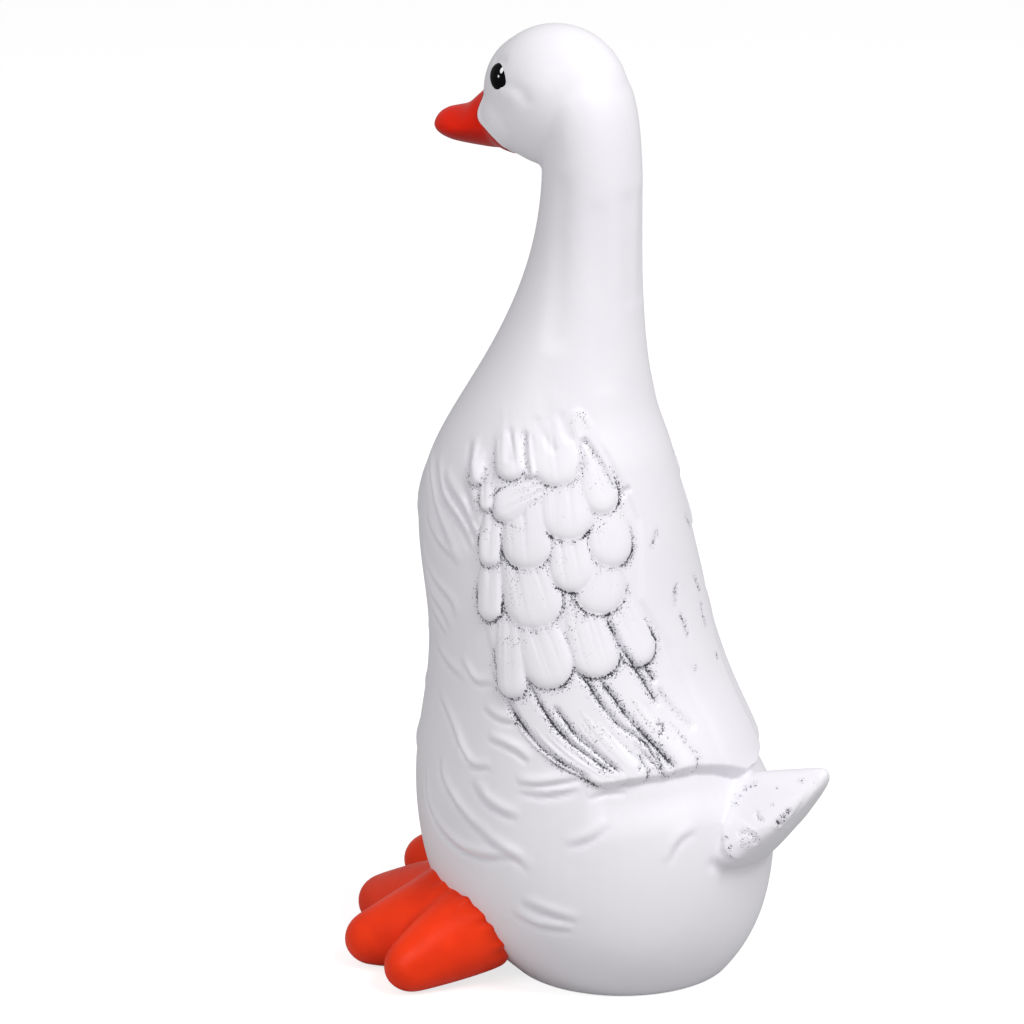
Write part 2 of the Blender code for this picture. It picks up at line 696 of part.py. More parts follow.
def stand_flat(mesh):
    """Cuts the foot of the statue flat on the ground and centres its outline on the origin."""
    bm = bmesh.new()
    bm.from_mesh(mesh)
    bm.normal_update()
    for vertex in bm.verts:
        if vertex.co.z < PRESSED_HEIGHT and vertex.normal.z < LOOKS_DOWN:
            vertex.co.z = -SOLE_DEPTH
    everything = bm.verts[:] + bm.edges[:] + bm.faces[:]
    cut = bmesh.ops.bisect_plane(
        bm, geom=everything, plane_co=(0, 0, 0), plane_no=(0, 0, 1), clear_inner=True,
    )
    rim = [item for item in cut["geom_cut"] if isinstance(item, bmesh.types.BMEdge)]
    bmesh.ops.holes_fill(bm, edges=rim, sides=0)
    bmesh.ops.triangulate(bm, faces=[face for face in bm.faces if len(face.verts) > 3])
    bmesh.ops.recalc_face_normals(bm, faces=bm.faces)
    backs = [vertex.co.y for vertex in bm.verts]
    middle = (min(backs) + max(backs)) / 2
    bmesh.ops.translate(bm, verts=bm.verts, vec=(0, -middle, 0))
    bm.to_mesh(mesh)
    bm.free()
    return middle


def paint(name):
    color, roughness = PAINTS[name]
    made = bpy.data.materials.new(name)
    made.diffuse_color = color
    made.use_nodes = True
    shader = made.node_tree.nodes["Principled BSDF"]
    shader.inputs["Base Color"].default_value = color
    shader.inputs["Roughness"].default_value = roughness
    shader.inputs["Metallic"].default_value = 0.0
    return made


def painted(mesh, middle, trees):
    """Gives each face the paint of the lump that it came from."""
    for name in PAINTS:
        mesh.materials.append(paint(name))
    for face in mesh.polygons:
        place = face.center + Vector((0, middle, 0))
        gaps = [tree.find_nearest(place)[3] for tree in trees]
        face.material_index = gaps.index(min(gaps))


def paint_of(lump):
    if "toe" in lump.name or "bill" in lump.name:
        return "red_paint"
    if "eye" in lump.name:
        return "black_paint"
    return "white_paint"


def statue(name, lumps, guides):
    """The finished statue, as one solid."""
    trees = [tree_of([lump for lump in lumps if paint_of(lump) == paint_name]) for paint_name in PAINTS]
    skin = joined(lumps, guides)
    sculpt(skin, tree_of(lumps[:1]))
    mesh = thinned(skin, guides)
    middle = stand_flat(mesh)
    painted(mesh, middle, trees)
    mesh.name = name
    mesh.shade_smooth()
    mesh.set_sharp_from_angle(angle=math.radians(SHARP_ANGLE))
    made = bpy.data.objects.new(name, mesh)
    new_collection(STATUE_NAME).objects.link(made)
    return made


def main():
    clear_scene()
    guides = new_collection("guides")
    lumps = clay(guides)
    statue(STATUE_NAME, lumps, guides)
    guide(lumps)


if __name__ == "__main__":
    main()
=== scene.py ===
"""Looks of a duck garden statue: carved white body, red bill and feet, black eyes, dark wash in the carving.

The duck looks along -Y, its left side is at +X. Sizes are metres, turns are degrees.
"""

import math

import bmesh
import bpy
import numpy as np
from mathutils import Matrix, Vector
from mathutils.bvhtree import BVHTree


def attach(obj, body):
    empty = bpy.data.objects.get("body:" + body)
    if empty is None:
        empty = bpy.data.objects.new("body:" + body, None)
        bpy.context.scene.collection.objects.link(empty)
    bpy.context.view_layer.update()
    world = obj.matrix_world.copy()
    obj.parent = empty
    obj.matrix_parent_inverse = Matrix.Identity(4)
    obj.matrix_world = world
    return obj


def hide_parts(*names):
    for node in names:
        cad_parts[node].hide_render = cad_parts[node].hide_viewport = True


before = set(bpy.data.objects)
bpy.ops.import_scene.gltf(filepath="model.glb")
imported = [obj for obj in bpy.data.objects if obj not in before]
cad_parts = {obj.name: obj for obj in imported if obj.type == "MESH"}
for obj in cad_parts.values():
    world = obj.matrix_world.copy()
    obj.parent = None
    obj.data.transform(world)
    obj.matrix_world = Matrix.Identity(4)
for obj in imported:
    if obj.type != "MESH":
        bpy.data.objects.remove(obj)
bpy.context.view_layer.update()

# The trunk is one upright run of level sections, from under the ground to inside the skull.
# Each one is its height, how far forward and how far back it reaches, and half its width.
TRUNK_SECTIONS = (
    (-0.022, -0.022, 0.050, 0.036),
    (-0.008, -0.034, 0.064, 0.0505),
    (0.008, -0.054, 0.079, 0.0668),
    (0.032, -0.085, 0.0895, 0.0845),
    (0.062, -0.0955, 0.0935, 0.088),
    (0.090, -0.0995, 0.0930, 0.086),
    (0.118, -0.0985, 0.0850, 0.081),
    (0.150, -0.0915, 0.0675, 0.076),
    (0.182, -0.0900, 0.0545, 0.073),
    (0.212, -0.0965, 0.0465, 0.070),
    (0.240, -0.0995, 0.0405, 0.067),
    (0.266, -0.0940, 0.0330, 0.060),
    (0.291, -0.0800, 0.0265, 0.051),
    (0.318, -0.0625, 0.0215, 0.041),
    (0.346, -0.0475, 0.0195, 0.033),
    (0.375, -0.0365, 0.0190, 0.028),
    (0.405, -0.0310, 0.0193, 0.0265),
    (0.430, -0.0305, 0.0180, 0.0272),
    (0.452, -0.0320, 0.0148, 0.0276),
    (0.470, -0.0280, 0.0080, 0.021),
)
RING_POINTS = 16

# The skull, brow and jaw are three eggs that run into each other: centre, then half sizes.
SKULL = ((0.0, -0.0262, 0.4531), (0.0288, 0.0382, 0.0362))
BROW = ((0.0, -0.0375, 0.4545), (0.0235, 0.0283, 0.0300))
JAW = ((0.0, -0.0440, 0.4420), (0.0240, 0.0235, 0.0200))

# The bill is a run of upright sections: how far forward, top, bottom and half width.
BILL_SECTIONS = (
    (-0.050, 0.4560, 0.4235, 0.0165),
    (-0.062, 0.4568, 0.4235, 0.0172),
    (-0.070, 0.4512, 0.4242, 0.0162),
    (-0.074, 0.4462, 0.4245, 0.0157),
    (-0.080, 0.4440, 0.4250, 0.0150),
    (-0.086, 0.4433, 0.4258, 0.0135),
    (-0.0925, 0.4407, 0.4280, 0.0098),
    (-0.0955, 0.4365, 0.4312, 0.0045),
)
BILL_EDGE = 0.42
BILL_PINCH = 1.6

# Seen from the side, the bill's paint ends behind in a V: how far forward and how high each corner is.
BILL_OUTLINE = (
    (-0.110, 0.405), (-0.0465, 0.405), (-0.0475, 0.4262), (-0.0505, 0.4310),
    (-0.0560, 0.4360), (-0.0632, 0.4420), (-0.0622, 0.4527), (-0.110, 0.4560),
)
BILL_EDGE_CORNERS = slice(2, 7)
BILL_BLOCK_HALF_WIDTH = 0.040
BILL_BLOCK_FRONT = (0, -0.020, 0)
BILL_BLOCK_LOW = (0, 0, 0.405)
PAINT_THICKNESS = 0.0003

# Painted shade on the bill: a painted shadow in a rim this wide along that edge, and where the bill looks
# down.
BILL_SHADOW_RIM = 0.0010
BILL_SHADE_START = 0.15
BILL_SHADE_SLOPE = 0.85
BILL_SHADE_DEPTH = 0.8
BILL_CREASE_ANGLE = 45

# The tail is a run of roof-shaped sections: how far back, ridge, eaves, keel and half width.
TAIL_SECTIONS = (
    (0.060, 0.109, 0.070, 0.044, 0.036),
    (0.085, 0.1155, 0.074, 0.054, 0.039),
    (0.102, 0.1195, 0.086, 0.074, 0.033),
    (0.118, 0.1225, 0.101, 0.095, 0.021),
    (0.1275, 0.1245, 0.113, 0.110, 0.010),
    (0.1315, 0.1240, 0.1185, 0.117, 0.004),
)

# Each toe runs from a heel inside the belly to a round tip on the ground: where its heel is, how far it
# is lifted off the ground and the radius there, then where its tip is.
OUTER_TOE = (0.0585, -0.0310, 0.0080, 0.0262, 0.0956, -0.0575)
LEFT_TOES = (
    OUTER_TOE,
    (0.0500, -0.0430, 0.0, 0.0310, 0.0745, -0.0938),
    (0.0440, -0.0460, 0.0, 0.0300, 0.0270, -0.1150),
)
RIGHT_TOES = (
    OUTER_TOE,
    (0.0500, -0.0430, 0.0, 0.0310, 0.0760, -0.0958),
    (0.0440, -0.0460, 0.0, 0.0320, 0.0385, -0.1252),
)
TOE_TIP_RADIUS = 0.0152
TOE_TAPER = 1.4
TOE_SHARES = (0.0, 0.3, 0.65, 1.0)
TOE_ROUND_ANGLES = (35, 65, 85)
SOLE_DEPTH = 0.0015

# The foot's edge at the belly is uneven by two waves that run across a slant.
RIPPLE_HEIGHT = 0.0008
RIPPLE_PITCH = 0.0110
RIPPLE_REACH = 0.005
RIPPLE_SLANT = 0.6
SECOND_RIPPLE_HEIGHT = 0.5
SECOND_RIPPLE_PITCH = 0.61

# The eye is a low oval dome, tilted and drawn out at its lower front corner. Its half sizes are
# outward, backward and upward, and the lights painted on it are a place and half sizes each.
EYE_CENTRE = (0.0195, -0.0476, 0.4632)
EYE_OUTWARD = (0.84, -0.44, 0.26)
EYE_TILT = 24
EYE_HALF_SIZES = (0.0034, 0.0090, 0.0068)
EYE_CORNER = (-0.30, -0.95)
EYE_CORNER_PULL = 0.10
EYE_CORNER_SHARPNESS = 6
GLINTS = (
    ((0.0215, -0.0456, 0.4672), (0.0040, 0.0010, 0.0015)),
    ((0.0218, -0.0468, 0.4643), (0.0040, 0.0007, 0.0007)),
)

# A place on the skin is its turn from straight ahead toward the duck's left, and its height.
# Each covert feather is the line from its root to its tip, and a width.
COVERTS = (
    (((109, 0.2805), (121, 0.2516)), 0.0190),
    (((83, 0.2632), (67, 0.2510)), 0.0175),
    (((97, 0.2652), (101, 0.2396)), 0.0275),
    (((79, 0.2560), (85, 0.2251)), 0.0255),
    (((67, 0.2495), (69, 0.2246)), 0.0120),
    (((121, 0.2540), (125, 0.2252)), 0.0235),
    (((100, 0.2420), (106, 0.2144)), 0.0230),
    (((119, 0.2289), (116, 0.2026)), 0.0275),
    (((82, 0.2280), (92, 0.1958)), 0.0300),
    (((69, 0.2260), (71, 0.1971)), 0.0145),
    (((110, 0.2039), (119, 0.1723)), 0.0260),
    (((88, 0.2008), (100, 0.1670)), 0.0265),
    (((79, 0.1970), (83, 0.1595)), 0.0170),
    (((128, 0.2057), (140, 0.1759)), 0.0205),
)
COVERT_THICKNESS = 0.0038

# The topmost ones grow out of the shoulder, in the same form.
SHOULDER_FEATHERS = (
    (((51, 0.2841), (57, 0.2631)), 0.0085),
    (((59, 0.2700), (65, 0.2517)), 0.0085),
    (((60, 0.2952), (72, 0.2678)), 0.0160),
    (((70, 0.2953), (80, 0.2698)), 0.0065),
    (((82, 0.3021), (94, 0.2658)), 0.0265),
)
SHOULDER_ROOT_RISE = 0.05
SHOULDER_WASH = 0.65

# The flight feathers sweep down and back to the hem.
FLIGHT_FEATHERS = (
    (((81, 0.1614), (85, 0.1501), (92, 0.1401), (102, 0.1316), (113, 0.1253), (122, 0.1197)), 0.0045),
    (((85, 0.1622), (91, 0.1511), (98, 0.1409), (107, 0.1320), (116, 0.1254), (125, 0.1189)), 0.0062),
    (((94, 0.1659), (100, 0.1534), (108, 0.1417), (117, 0.1317), (128, 0.1213)), 0.0085),
    (((103, 0.1678), (109, 0.1564), (117, 0.1436), (125, 0.1321), (134, 0.1208)), 0.0135),
    (((112, 0.1716), (120, 0.1611), (129, 0.1492), (136, 0.1373), (145, 0.1230)), 0.0056),
    (((123, 0.1722), (132, 0.1612), (141, 0.1463), (150, 0.1276), (153, 0.1218)), 0.0145),
)
FLIGHT_THICKNESS = 0.0030

# A feather's root is this share of its tip's thickness, a covert runs on by this share of its length under
# the ones above it, and a section is flatter on top with a higher power.
COVERED_ROOT_RISE = 0.30
FLIGHT_ROOT_RISE = 0.15
COVERED_ROOT = 0.40
ROOT_ROUND = 0.30
ROOT_NARROWING = 0.30
NARROW_SHARE = 0.7
PILLOW = 3.4

# A few dents run down each feather, at random places over this share of its half width.
DENTS = 3
DENT_DEPTH = 0.0006
DENT_WIDTH = 0.0009
DENT_SPREAD = 0.6
DENT_SEED = 7
STREAK_EDGE = 0.2

# Wash gathers round the tip half of a feather, and is full where the skin lies this far under its edge.
WASH_REACH = 0.0016
WASH_START = 0.35
WASH_RISE = 0.3
EDGE_SHARE = 0.97
OVERHANG_SHARE = 0.8
OVERHANG_DEPTH = 0.0015
OVERHANG_POWER = 1.5

# Cuts between the flight feathers and at the shoulder: a line of places, then how dark the wash in it is.
WING_CUTS = (
    (((79, 0.161), (84, 0.1513), (90, 0.1431), (96, 0.1362), (103, 0.131), (109, 0.127),
      (115, 0.1232)), 1.0),
    (((89, 0.172), (90, 0.1668), (94, 0.1581), (100, 0.1482), (106, 0.1409), (110, 0.1373), (120, 0.1285),
      (124, 0.1256)), 1.0),
    (((99, 0.1585), (104, 0.1511), (109, 0.1436), (115, 0.1374), (121, 0.1310), (126, 0.1255)), 0.9),
    (((107, 0.1762), (113, 0.1691), (118, 0.1599), (125, 0.1495), (131, 0.1440), (136, 0.1391),
      (139, 0.1319), (141, 0.1264)), 1.0),
    (((117, 0.1720), (123, 0.1634), (129, 0.1529), (136, 0.1428), (141, 0.1353), (147, 0.1244)), 1.0),
    (((120, 0.2010), (123, 0.1961), (127, 0.1869), (132, 0.1788), (137, 0.1706), (141, 0.1625),
      (144, 0.1556)), 1.0),
    (((139, 0.1766), (144, 0.1670)), 0.9),
    (((145, 0.1642), (150, 0.1533), (158, 0.1416)), 0.3),
    (((104, 0.2896), (113, 0.2801), (122, 0.2704), (128, 0.2627)), 0.6),
    (((104, 0.2890), (105, 0.2812), (104, 0.2709)), 0.3),
    (((71, 0.2925), (74, 0.2811), (79, 0.2703)), 0.3),
    (((139, 0.2630), (130, 0.2586)), 0.1),
)
CUT_DEPTH = 0.0016
CUT_WIDTH = 0.0013

# A groove fades at its ends. Wash fills its middle, and thinner wash lies beside it: shares of its width.
GROOVE_REACH = 5
GROOVE_END = 1.15
GROOVE_END_POWER = 6
WASH_CORE_WIDTH = 0.6
WASH_HALO_WIDTH = 2.2
WASH_HALO = 0.45

# Small scratches and nicks with wash in them, on the wing and on the back.
NICKS = (
    ((141, 0.1475), (144, 0.1464), (143, 0.1430), (141, 0.1423)),
    ((133, 0.1339), (134, 0.1301), (132, 0.1263)),
    ((140, 0.1349), (141, 0.1255)),
    ((135, 0.1349), (137, 0.1310), (139, 0.1289)),
    ((160, 0.2406), (151, 0.2311)),
    ((169, 0.2111), (166, 0.2057), (164, 0.1999)),
    ((167, 0.1965), (169, 0.1907), (170, 0.1831)),
    ((168, 0.1695), (169, 0.1661)),
)
NICK_DEPTH = 0.0007
NICK_WIDTH = 0.0008
NICK_WASH = 0.9

# Valleys run down between the shoulder feathers.
SHOULDER_VALLEYS = (
    ((76, 0.2994), (79, 0.2931), (85, 0.2867), (89, 0.2816)),
    ((88, 0.3020), (92, 0.2940), (97, 0.2870)),
    ((63, 0.2930), (66, 0.2850), (69, 0.2760)),
)
VALLEY_DEPTH = 0.0008
VALLEY_WIDTH = 0.0022

# The wing stands out from the breast along this front edge, from the shoulder to the hem.
WING_EDGE = (
    (58, 0.294), (62, 0.270), (66, 0.245), (66, 0.222), (67, 0.198),
    (73, 0.176), (79, 0.161), (90, 0.1431), (103, 0.131), (115, 0.1232), (121, 0.1205),
)
WING_THICKNESS = 0.0010
WING_EDGE_SOFTNESS = 3
PLATE_END_SOFTNESS = 0.002

# The right wing's feathers end at this turn, because the back is smooth where it shows beyond the left one.
RIGHT_WING_END = 138
RIGHT_WING_SOFTNESS = 12

# Behind the wing the back is one smooth cape. This is its front edge, from the shoulder to the hem.
CAPE_EDGE = (
    (104, 0.292), (117, 0.280), (130, 0.262), (138, 0.247), (136, 0.227),
    (134, 0.208), (142, 0.195), (150, 0.1815), (156, 0.161), (160, 0.142), (162, 0.110),
)
CAPE_THICKNESS = 0.0022
CAPE_EDGE_SOFTNESS = 9
CAPE_FLARE = 0.0024
CAPE_FLARE_HEIGHTS = (0.170, 0.128)
CAPE_FLARE_START = 140
CAPE_FLARE_SOFTNESS = 25
CAPE_TOP = 0.300
CAPE_FADE = 0.030

# The wings and the cape end below in one hem, which goes round behind above the tail.
HEM_LINE = (
    (92, 0.139), (107, 0.1275), (117, 0.1215), (125, 0.1222), (129, 0.1230), (135, 0.1235), (143, 0.1240),
    (149, 0.1252), (156, 0.1250), (164, 0.1228), (173, 0.1181), (180, 0.1130),
)
HEM_DEPTH = 0.0030
HEM_WIDTH = 0.0036
HEM_RECOVERY = 0.030
HEM_RECOVERY_SOFTNESS = HEM_RECOVERY * 2 / 3
HEM_START = 112
HEM_START_SOFTNESS = 10

# Folds in the breast and belly. Each has a crease with a soft bank beside it.
FOLDS = (
    ((19, 0.2666), (31, 0.2571), (39, 0.2461), (45, 0.2373), (53, 0.2249)),
    ((30, 0.2681), (37, 0.2597), (43, 0.2517), (51, 0.2448), (57, 0.2374), (61, 0.2291)),
    ((38, 0.2647), (44, 0.2585), (52, 0.2516), (58, 0.2432), (62, 0.2349), (63, 0.2260)),
    ((49, 0.2662), (54, 0.2584), (58, 0.2504), (62, 0.2423)),
    ((33, 0.2401), (39, 0.2329), (46, 0.2272), (52, 0.2237), (55, 0.2209)),
    ((29, 0.2231), (35, 0.2130), (43, 0.2062), (51, 0.2007), (54, 0.1932)),
    ((30, 0.2067), (36, 0.1992), (45, 0.1935), (51, 0.1853)),
    ((35, 0.191), (42, 0.1865), (49, 0.1815)),
    ((46, 0.284), (51, 0.271), (57, 0.263)),
    ((40, 0.1725), (51, 0.166), (60, 0.1625)),
    ((57, 0.173), (65, 0.163), (74, 0.1645)),
    ((70, 0.151), (77, 0.147), (85, 0.1465)),
    ((44, 0.149), (53, 0.139), (62, 0.1245), (68, 0.1195), (76, 0.1215)),
    ((73, 0.136), (84, 0.133), (91, 0.128)),
    ((50, 0.119), (52, 0.1085), (61, 0.0975), (70, 0.090), (78, 0.0855)),
    ((68, 0.112), (75, 0.104), (82, 0.1005), (89, 0.099)),
    ((40, 0.108), (43, 0.0925), (52, 0.0815), (65, 0.075), (77, 0.075), (87, 0.0785), (94, 0.073)),
    ((74, 0.086), (81, 0.0825), (91, 0.0775)),
    ((87, 0.1165), (95, 0.117), (105, 0.120), (112, 0.1225)),
    ((88, 0.112), (100, 0.113), (111, 0.117)),
    ((114, 0.1125), (120, 0.1155), (128, 0.116)),
    ((107, 0.088), (115, 0.0925), (122, 0.1005)),
    ((141, 0.079), (145, 0.089), (152, 0.094)),
    ((91, 0.0555), (100, 0.052), (111, 0.0485)),
    ((87, 0.0485), (96, 0.0435), (109, 0.043)),
    ((6, 0.262), (12, 0.246), (20, 0.232)),
    ((2, 0.232), (9, 0.216), (18, 0.205)),
    ((4, 0.188), (12, 0.176), (22, 0.170)),
    ((2, 0.158), (10, 0.146), (21, 0.140)),
    ((6, 0.126), (14, 0.114), (26, 0.108)),
)
FOLD_LENGTH = 0.045
FOLD_DEPTH = 0.0021
FOLD_WIDTH = 0.0016
FOLD_TAPER = 0.6
FOLD_LENGTH_POWER = 0.7
BANK_SHARE = 0.75
BANK_WIDTH = 0.0030
BANK_REACH = 4

# Shallow hollows down the neck.
NECK_HOLLOWS = (
    ((113, 0.4068), (113, 0.3817), (116, 0.3564), (119, 0.3312), (121, 0.3088)),
    ((72, 0.4200), (71, 0.4060), (71, 0.3809), (75, 0.3562), (78, 0.3300)),
    ((159, 0.4102), (161, 0.3796), (165, 0.3500)),
)
NECK_DEPTH = 0.0007
NECK_WIDTH = 0.0060

# On the head: the crease over the cheek, the soft ridge under it and the hollow over the eye, each with its
# depth and width.
HEAD_CREASES = (
    (((28, 0.4600), (36, 0.4604), (43, 0.4572), (48, 0.4520)), 0.0006, 0.0030),
    (((28, 0.4575), (34, 0.4562), (40, 0.4525)), -0.0006, 0.0048),
    (((15, 0.4690), (18, 0.4712), (25, 0.4718)), 0.0006, 0.0022),
)

# A thin lip on the face runs along the edge of the bill's paint.
LIP_HEIGHT = 0.0007
LIP_WIDTH = 0.0007
LIP_OFFSET = 0.0006

# On the tail, as places in space: its raised face starts at a step, and it has creases, each with its
# depth, width and wash, and spots of wash, each with its radius and strength.
TAIL_STEP = (
    (0.0154, 0.0882, 0.1055), (0.0187, 0.0879, 0.1020), (0.0224, 0.0856, 0.0983), (0.0282, 0.0844, 0.0935),
    (0.0297, 0.0853, 0.0877), (0.0335, 0.0899, 0.0807), (0.0296, 0.0955, 0.0772),
)
TAIL_STEP_HEIGHT = 0.0017
TAIL_STEP_WIDTH = 0.0020
TAIL_STEP_FADE = 0.45
TAIL_STEP_END = 1.08
TAIL_STEP_END_FADE = 0.15
TAIL_FACE_REACH = 0.030
TAIL_FACE_WIDTH = 0.022
TAIL_CREASES = (
    (((0.0290, 0.0950, 0.0905), (0.0280, 0.0999, 0.0923), (0.0281, 0.1040, 0.0905),
      (0.0277, 0.1039, 0.0864)), 0.0009, 0.0014, 0.45),
    (((0.0207, 0.1006, 0.1023), (0.0230, 0.1028, 0.0995), (0.0239, 0.1066, 0.0983)), 0.0008, 0.0011, 0.5),
    (((0.0220, 0.1130, 0.0997), (0.0205, 0.1144, 0.0962)), 0.0009, 0.0011, 0.9),
    (((0.0183, 0.1165, 0.1049), (0.0178, 0.1188, 0.1026)), 0.0008, 0.0011, 0.8),
    (((0.0058, 0.1265, 0.1193), (0.0113, 0.1252, 0.1118), (0.0149, 0.1190, 0.1004),
      (0.0140, 0.1121, 0.0898)), 0.0006, 0.0013, 0.1),
    (((0.0376, 0.0818, 0.0774), (0.0308, 0.0893, 0.0721), (0.0172, 0.0949, 0.0695),
      (0.0, 0.0971, 0.0690)), 0.0014, 0.0030, 0.0),
    (((0.0270, 0.0780, 0.0880), (0.0330, 0.0760, 0.0820), (0.0360, 0.0790, 0.0790)), 0.0007, 0.0022, 0.0),
)
TAIL_SPOTS = (
    ((0.0306, 0.0992, 0.0866), 0.0030, 0.42), ((0.0301, 0.0895, 0.0879), 0.0014, 0.6),
    ((0.0321, 0.0926, 0.0846), 0.0014, 0.6), ((0.0329, 0.0930, 0.0798), 0.0014, 0.6),
    ((0.0200, 0.1161, 0.1015), 0.0022, 0.5), ((0.0102, 0.0938, 0.1113), 0.0022, 0.4),
    ((0.0117, 0.0905, 0.1092), 0.0018, 0.5), ((0.0154, 0.0882, 0.1055), 0.0018, 0.5),
    ((0.0187, 0.0879, 0.1020), 0.0020, 0.5), ((0.0116, 0.1079, 0.1128), 0.0009, 0.8),
    ((0.0078, 0.1197, 0.1175), 0.0018, 0.35), ((0.0180, 0.1084, 0.1060), 0.0009, 0.6),
)

# The camera: its turn round the statue from straight ahead toward its left, its rise above level and its
# distance, the place it is aimed by, and where that place is in the picture.
CAMERA_TURN = 118.0
CAMERA_RISE = 16.0
CAMERA_DISTANCE = 2.0
CAMERA_TARGET = (0.0, -0.004, 0.24)
PICTURE_WIDTH = 1024
TARGET_PIXEL = (594, 510)
PIXELS_PER_METRE = 1950

# The forms are run together on these grids and then softened by this many passes.
BODY_GRID = 0.0017
BODY_SOFTENING = 10
FOOT_GRID = 0.0014
FOOT_SOFTENING = 6
CURVE_STEPS = 6
CUT_TOLERANCE = 0.000001
LEVEL_NORMAL = 0.999

# The trunk's carving fades out as the skin leaves the trunk and where it comes to the tail.
CARVING_FADE = 0.004
TAIL_CLEARANCE = 0.0035

# Where the faces are divided once more: turns and heights of the wing, and limits of hem, tail and bill.
FINE_WING_TURNS = (60, 150)
FINE_WING_HEIGHTS = (0.117, 0.290)
FINE_HEM_START = 112
FINE_HEM_HEIGHTS = (0.108, 0.129)
FINE_TAIL_START = 0.090
FINE_TAIL_LOW = 0.066
FINE_BILL_START = -0.042
FINE_BILL_HEIGHTS = (0.418, 0.462)

# Hollows, where shade is painted, are found by this many passes of spreading, and count in full at this
# depth.
BODY_HOLLOW_PASSES = 6
BODY_HOLLOW_DEPTH = 0.0007
FOOT_HOLLOW_PASSES = 12
FOOT_HOLLOW_DEPTH = 0.0016

WHITE = (0.885, 0.868, 0.912, 1.0)
WHITE_SHADE = (0.80, 0.78, 0.835, 1.0)
# A grey that is partly a thin wash film and partly painted shade in dips.
WASH_FILM_AND_SHADE = (0.50, 0.48, 0.58, 1.0)
WASH_BLACK = (0.035, 0.035, 0.042, 1.0)
RED = (0.98, 0.048, 0.008, 1.0)
# The darker reds are a random tone and painted shade in hollows, under the bill and at its edge.
RED_SHADE = (0.55, 0.009, 0.001, 1.0)
BILL_RED = (0.88, 0.017, 0.002, 1.0)
BILL_RED_SHADE = (0.38, 0.003, 0.0005, 1.0)
BLACK = (0.004, 0.004, 0.005, 1.0)
GLINT = (0.92, 0.92, 0.94, 1.0)

# Pattern sizes, as repeats in a metre: slow patches of tone and the fine grain of each paint, the patches
# in which wash has stayed, its specks and its hair lines, and the streaks across and along a feather.
WHITE_PATCHES = 22.0
WHITE_GRAIN = 420.0
RED_PATCHES = 45.0
RED_GRAIN = 500.0
BLACK_PATCHES = 300.0
BLACK_GRAIN = 900.0
WASH_PATCHES = 70.0
WASH_SPECKS = 1200.0
WASH_HAIRS = 520.0
STREAKS_ACROSS = 900.0
STREAKS_ALONG = 90.0

# Where each mark starts and where it is full: tones, patches and specks in their noise, hairs by how near
# they are to its middle, and solid lines, partly wash and partly a painted contact shadow, in the wash
# itself.
TONE_LEVELS = (0.35, 0.68)
PATCH_LEVELS = (0.38, 0.62)
SPECK_LEVELS = (0.665, 0.700)
HAIR_LEVELS = (0.030, 0.008)
WASH_AND_SHADOW_LINE_LEVELS = (0.72, 0.92)

FLOOR_SIZE = 30
FLOOR_DROP = 0.0005
FLOOR_TONE = 0.50
FLOOR_LIFT = 0.75
WORLD_STRENGTH = 0.42

# Each soft box is where it stands by the camera's right, up and back, its distance, its size and its watts.
KEY_BOX = (0.62, 0.72, 0.75, 2.2, 0.9, 31)
FILL_BOX = (-0.6, 0.3, 0.9, 2.5, 1.2, 15)


def pick_nothing():
    bpy.ops.object.select_all(action="DESELECT")


def pick(piece):
    pick_nothing()
    piece.select_set(True)
    bpy.context.view_layer.objects.active = piece


def open_for_edit(piece):
    """Puts a piece in edit mode, selected all over."""
    pick(piece)
    bpy.ops.object.mode_set(mode="EDIT")
    bpy.ops.mesh.select_all(action="SELECT")


def close_edit():
    bpy.ops.object.mode_set(mode="OBJECT")


def turn_outward():
    """Makes all faces of the piece in edit mode point outward."""
    bpy.ops.mesh.select_all(action="SELECT")
    bpy.ops.mesh.normals_make_consistent(inside=False)


def finish_with(piece, kind, **settings):
    """Puts one modifier on a piece and applies it."""
    pick(piece)
    modifier = piece.modifiers.new(kind.lower(), kind)
    for setting, value in settings.items():
        setattr(modifier, setting, value)
    bpy.ops.object.modifier_apply(modifier=modifier.name)


def ring_angles():
    return [2 * math.pi * i / RING_POINTS for i in range(RING_POINTS)]


def drawn_in():
    """How much of a ring's radius the rounding keeps, to make the rings larger by."""
    return (2 + math.cos(2 * math.pi / RING_POINTS)) / 3


def grown_form(name, rings):
    """One circle, extruded ring by ring and then rounded."""
    pick_nothing()
    bpy.ops.mesh.primitive_circle_add(vertices=len(rings[0]), fill_type="NGON")
    form = bpy.context.object
    form.name = name
    open_for_edit(form)
    for number, ring in enumerate(rings):
        if number:
            bpy.ops.mesh.extrude_region_move()
        edited = bmesh.from_edit_mesh(form.data)
        cap = next(face for face in edited.faces if face.select)
        for corner, place in zip(cap.verts, ring):
            corner.co = place
        bmesh.update_edit_mesh(form.data)
    turn_outward()
    close_edit()
    finish_with(form, "SUBSURF", levels=2, render_levels=2)
    return form


def egg(name, centre, half_sizes):
    pick_nothing()
    bpy.ops.mesh.primitive_uv_sphere_add(segments=32, ring_count=20, location=centre, scale=half_sizes)
    made = bpy.context.object
    made.name = name
    bpy.ops.object.transform_apply(location=True, rotation=True, scale=True)
    return made


def trunk():
    rings = []
    for height, front, back, half_width in TRUNK_SECTIONS:
        middle = (front + back) / 2
        half_depth = (back - front) / 2
        rings.append([
            Vector((
                half_width * math.sin(a) / drawn_in(),
                middle - half_depth * math.cos(a) / drawn_in(),
                height,
            ))
            for a in ring_angles()
        ])
    return grown_form("trunk", rings)


def pinched(value):
    """Draws a round section's corners in, toward a lens with an edge at each side."""
    return math.copysign(abs(value) ** BILL_PINCH, value)


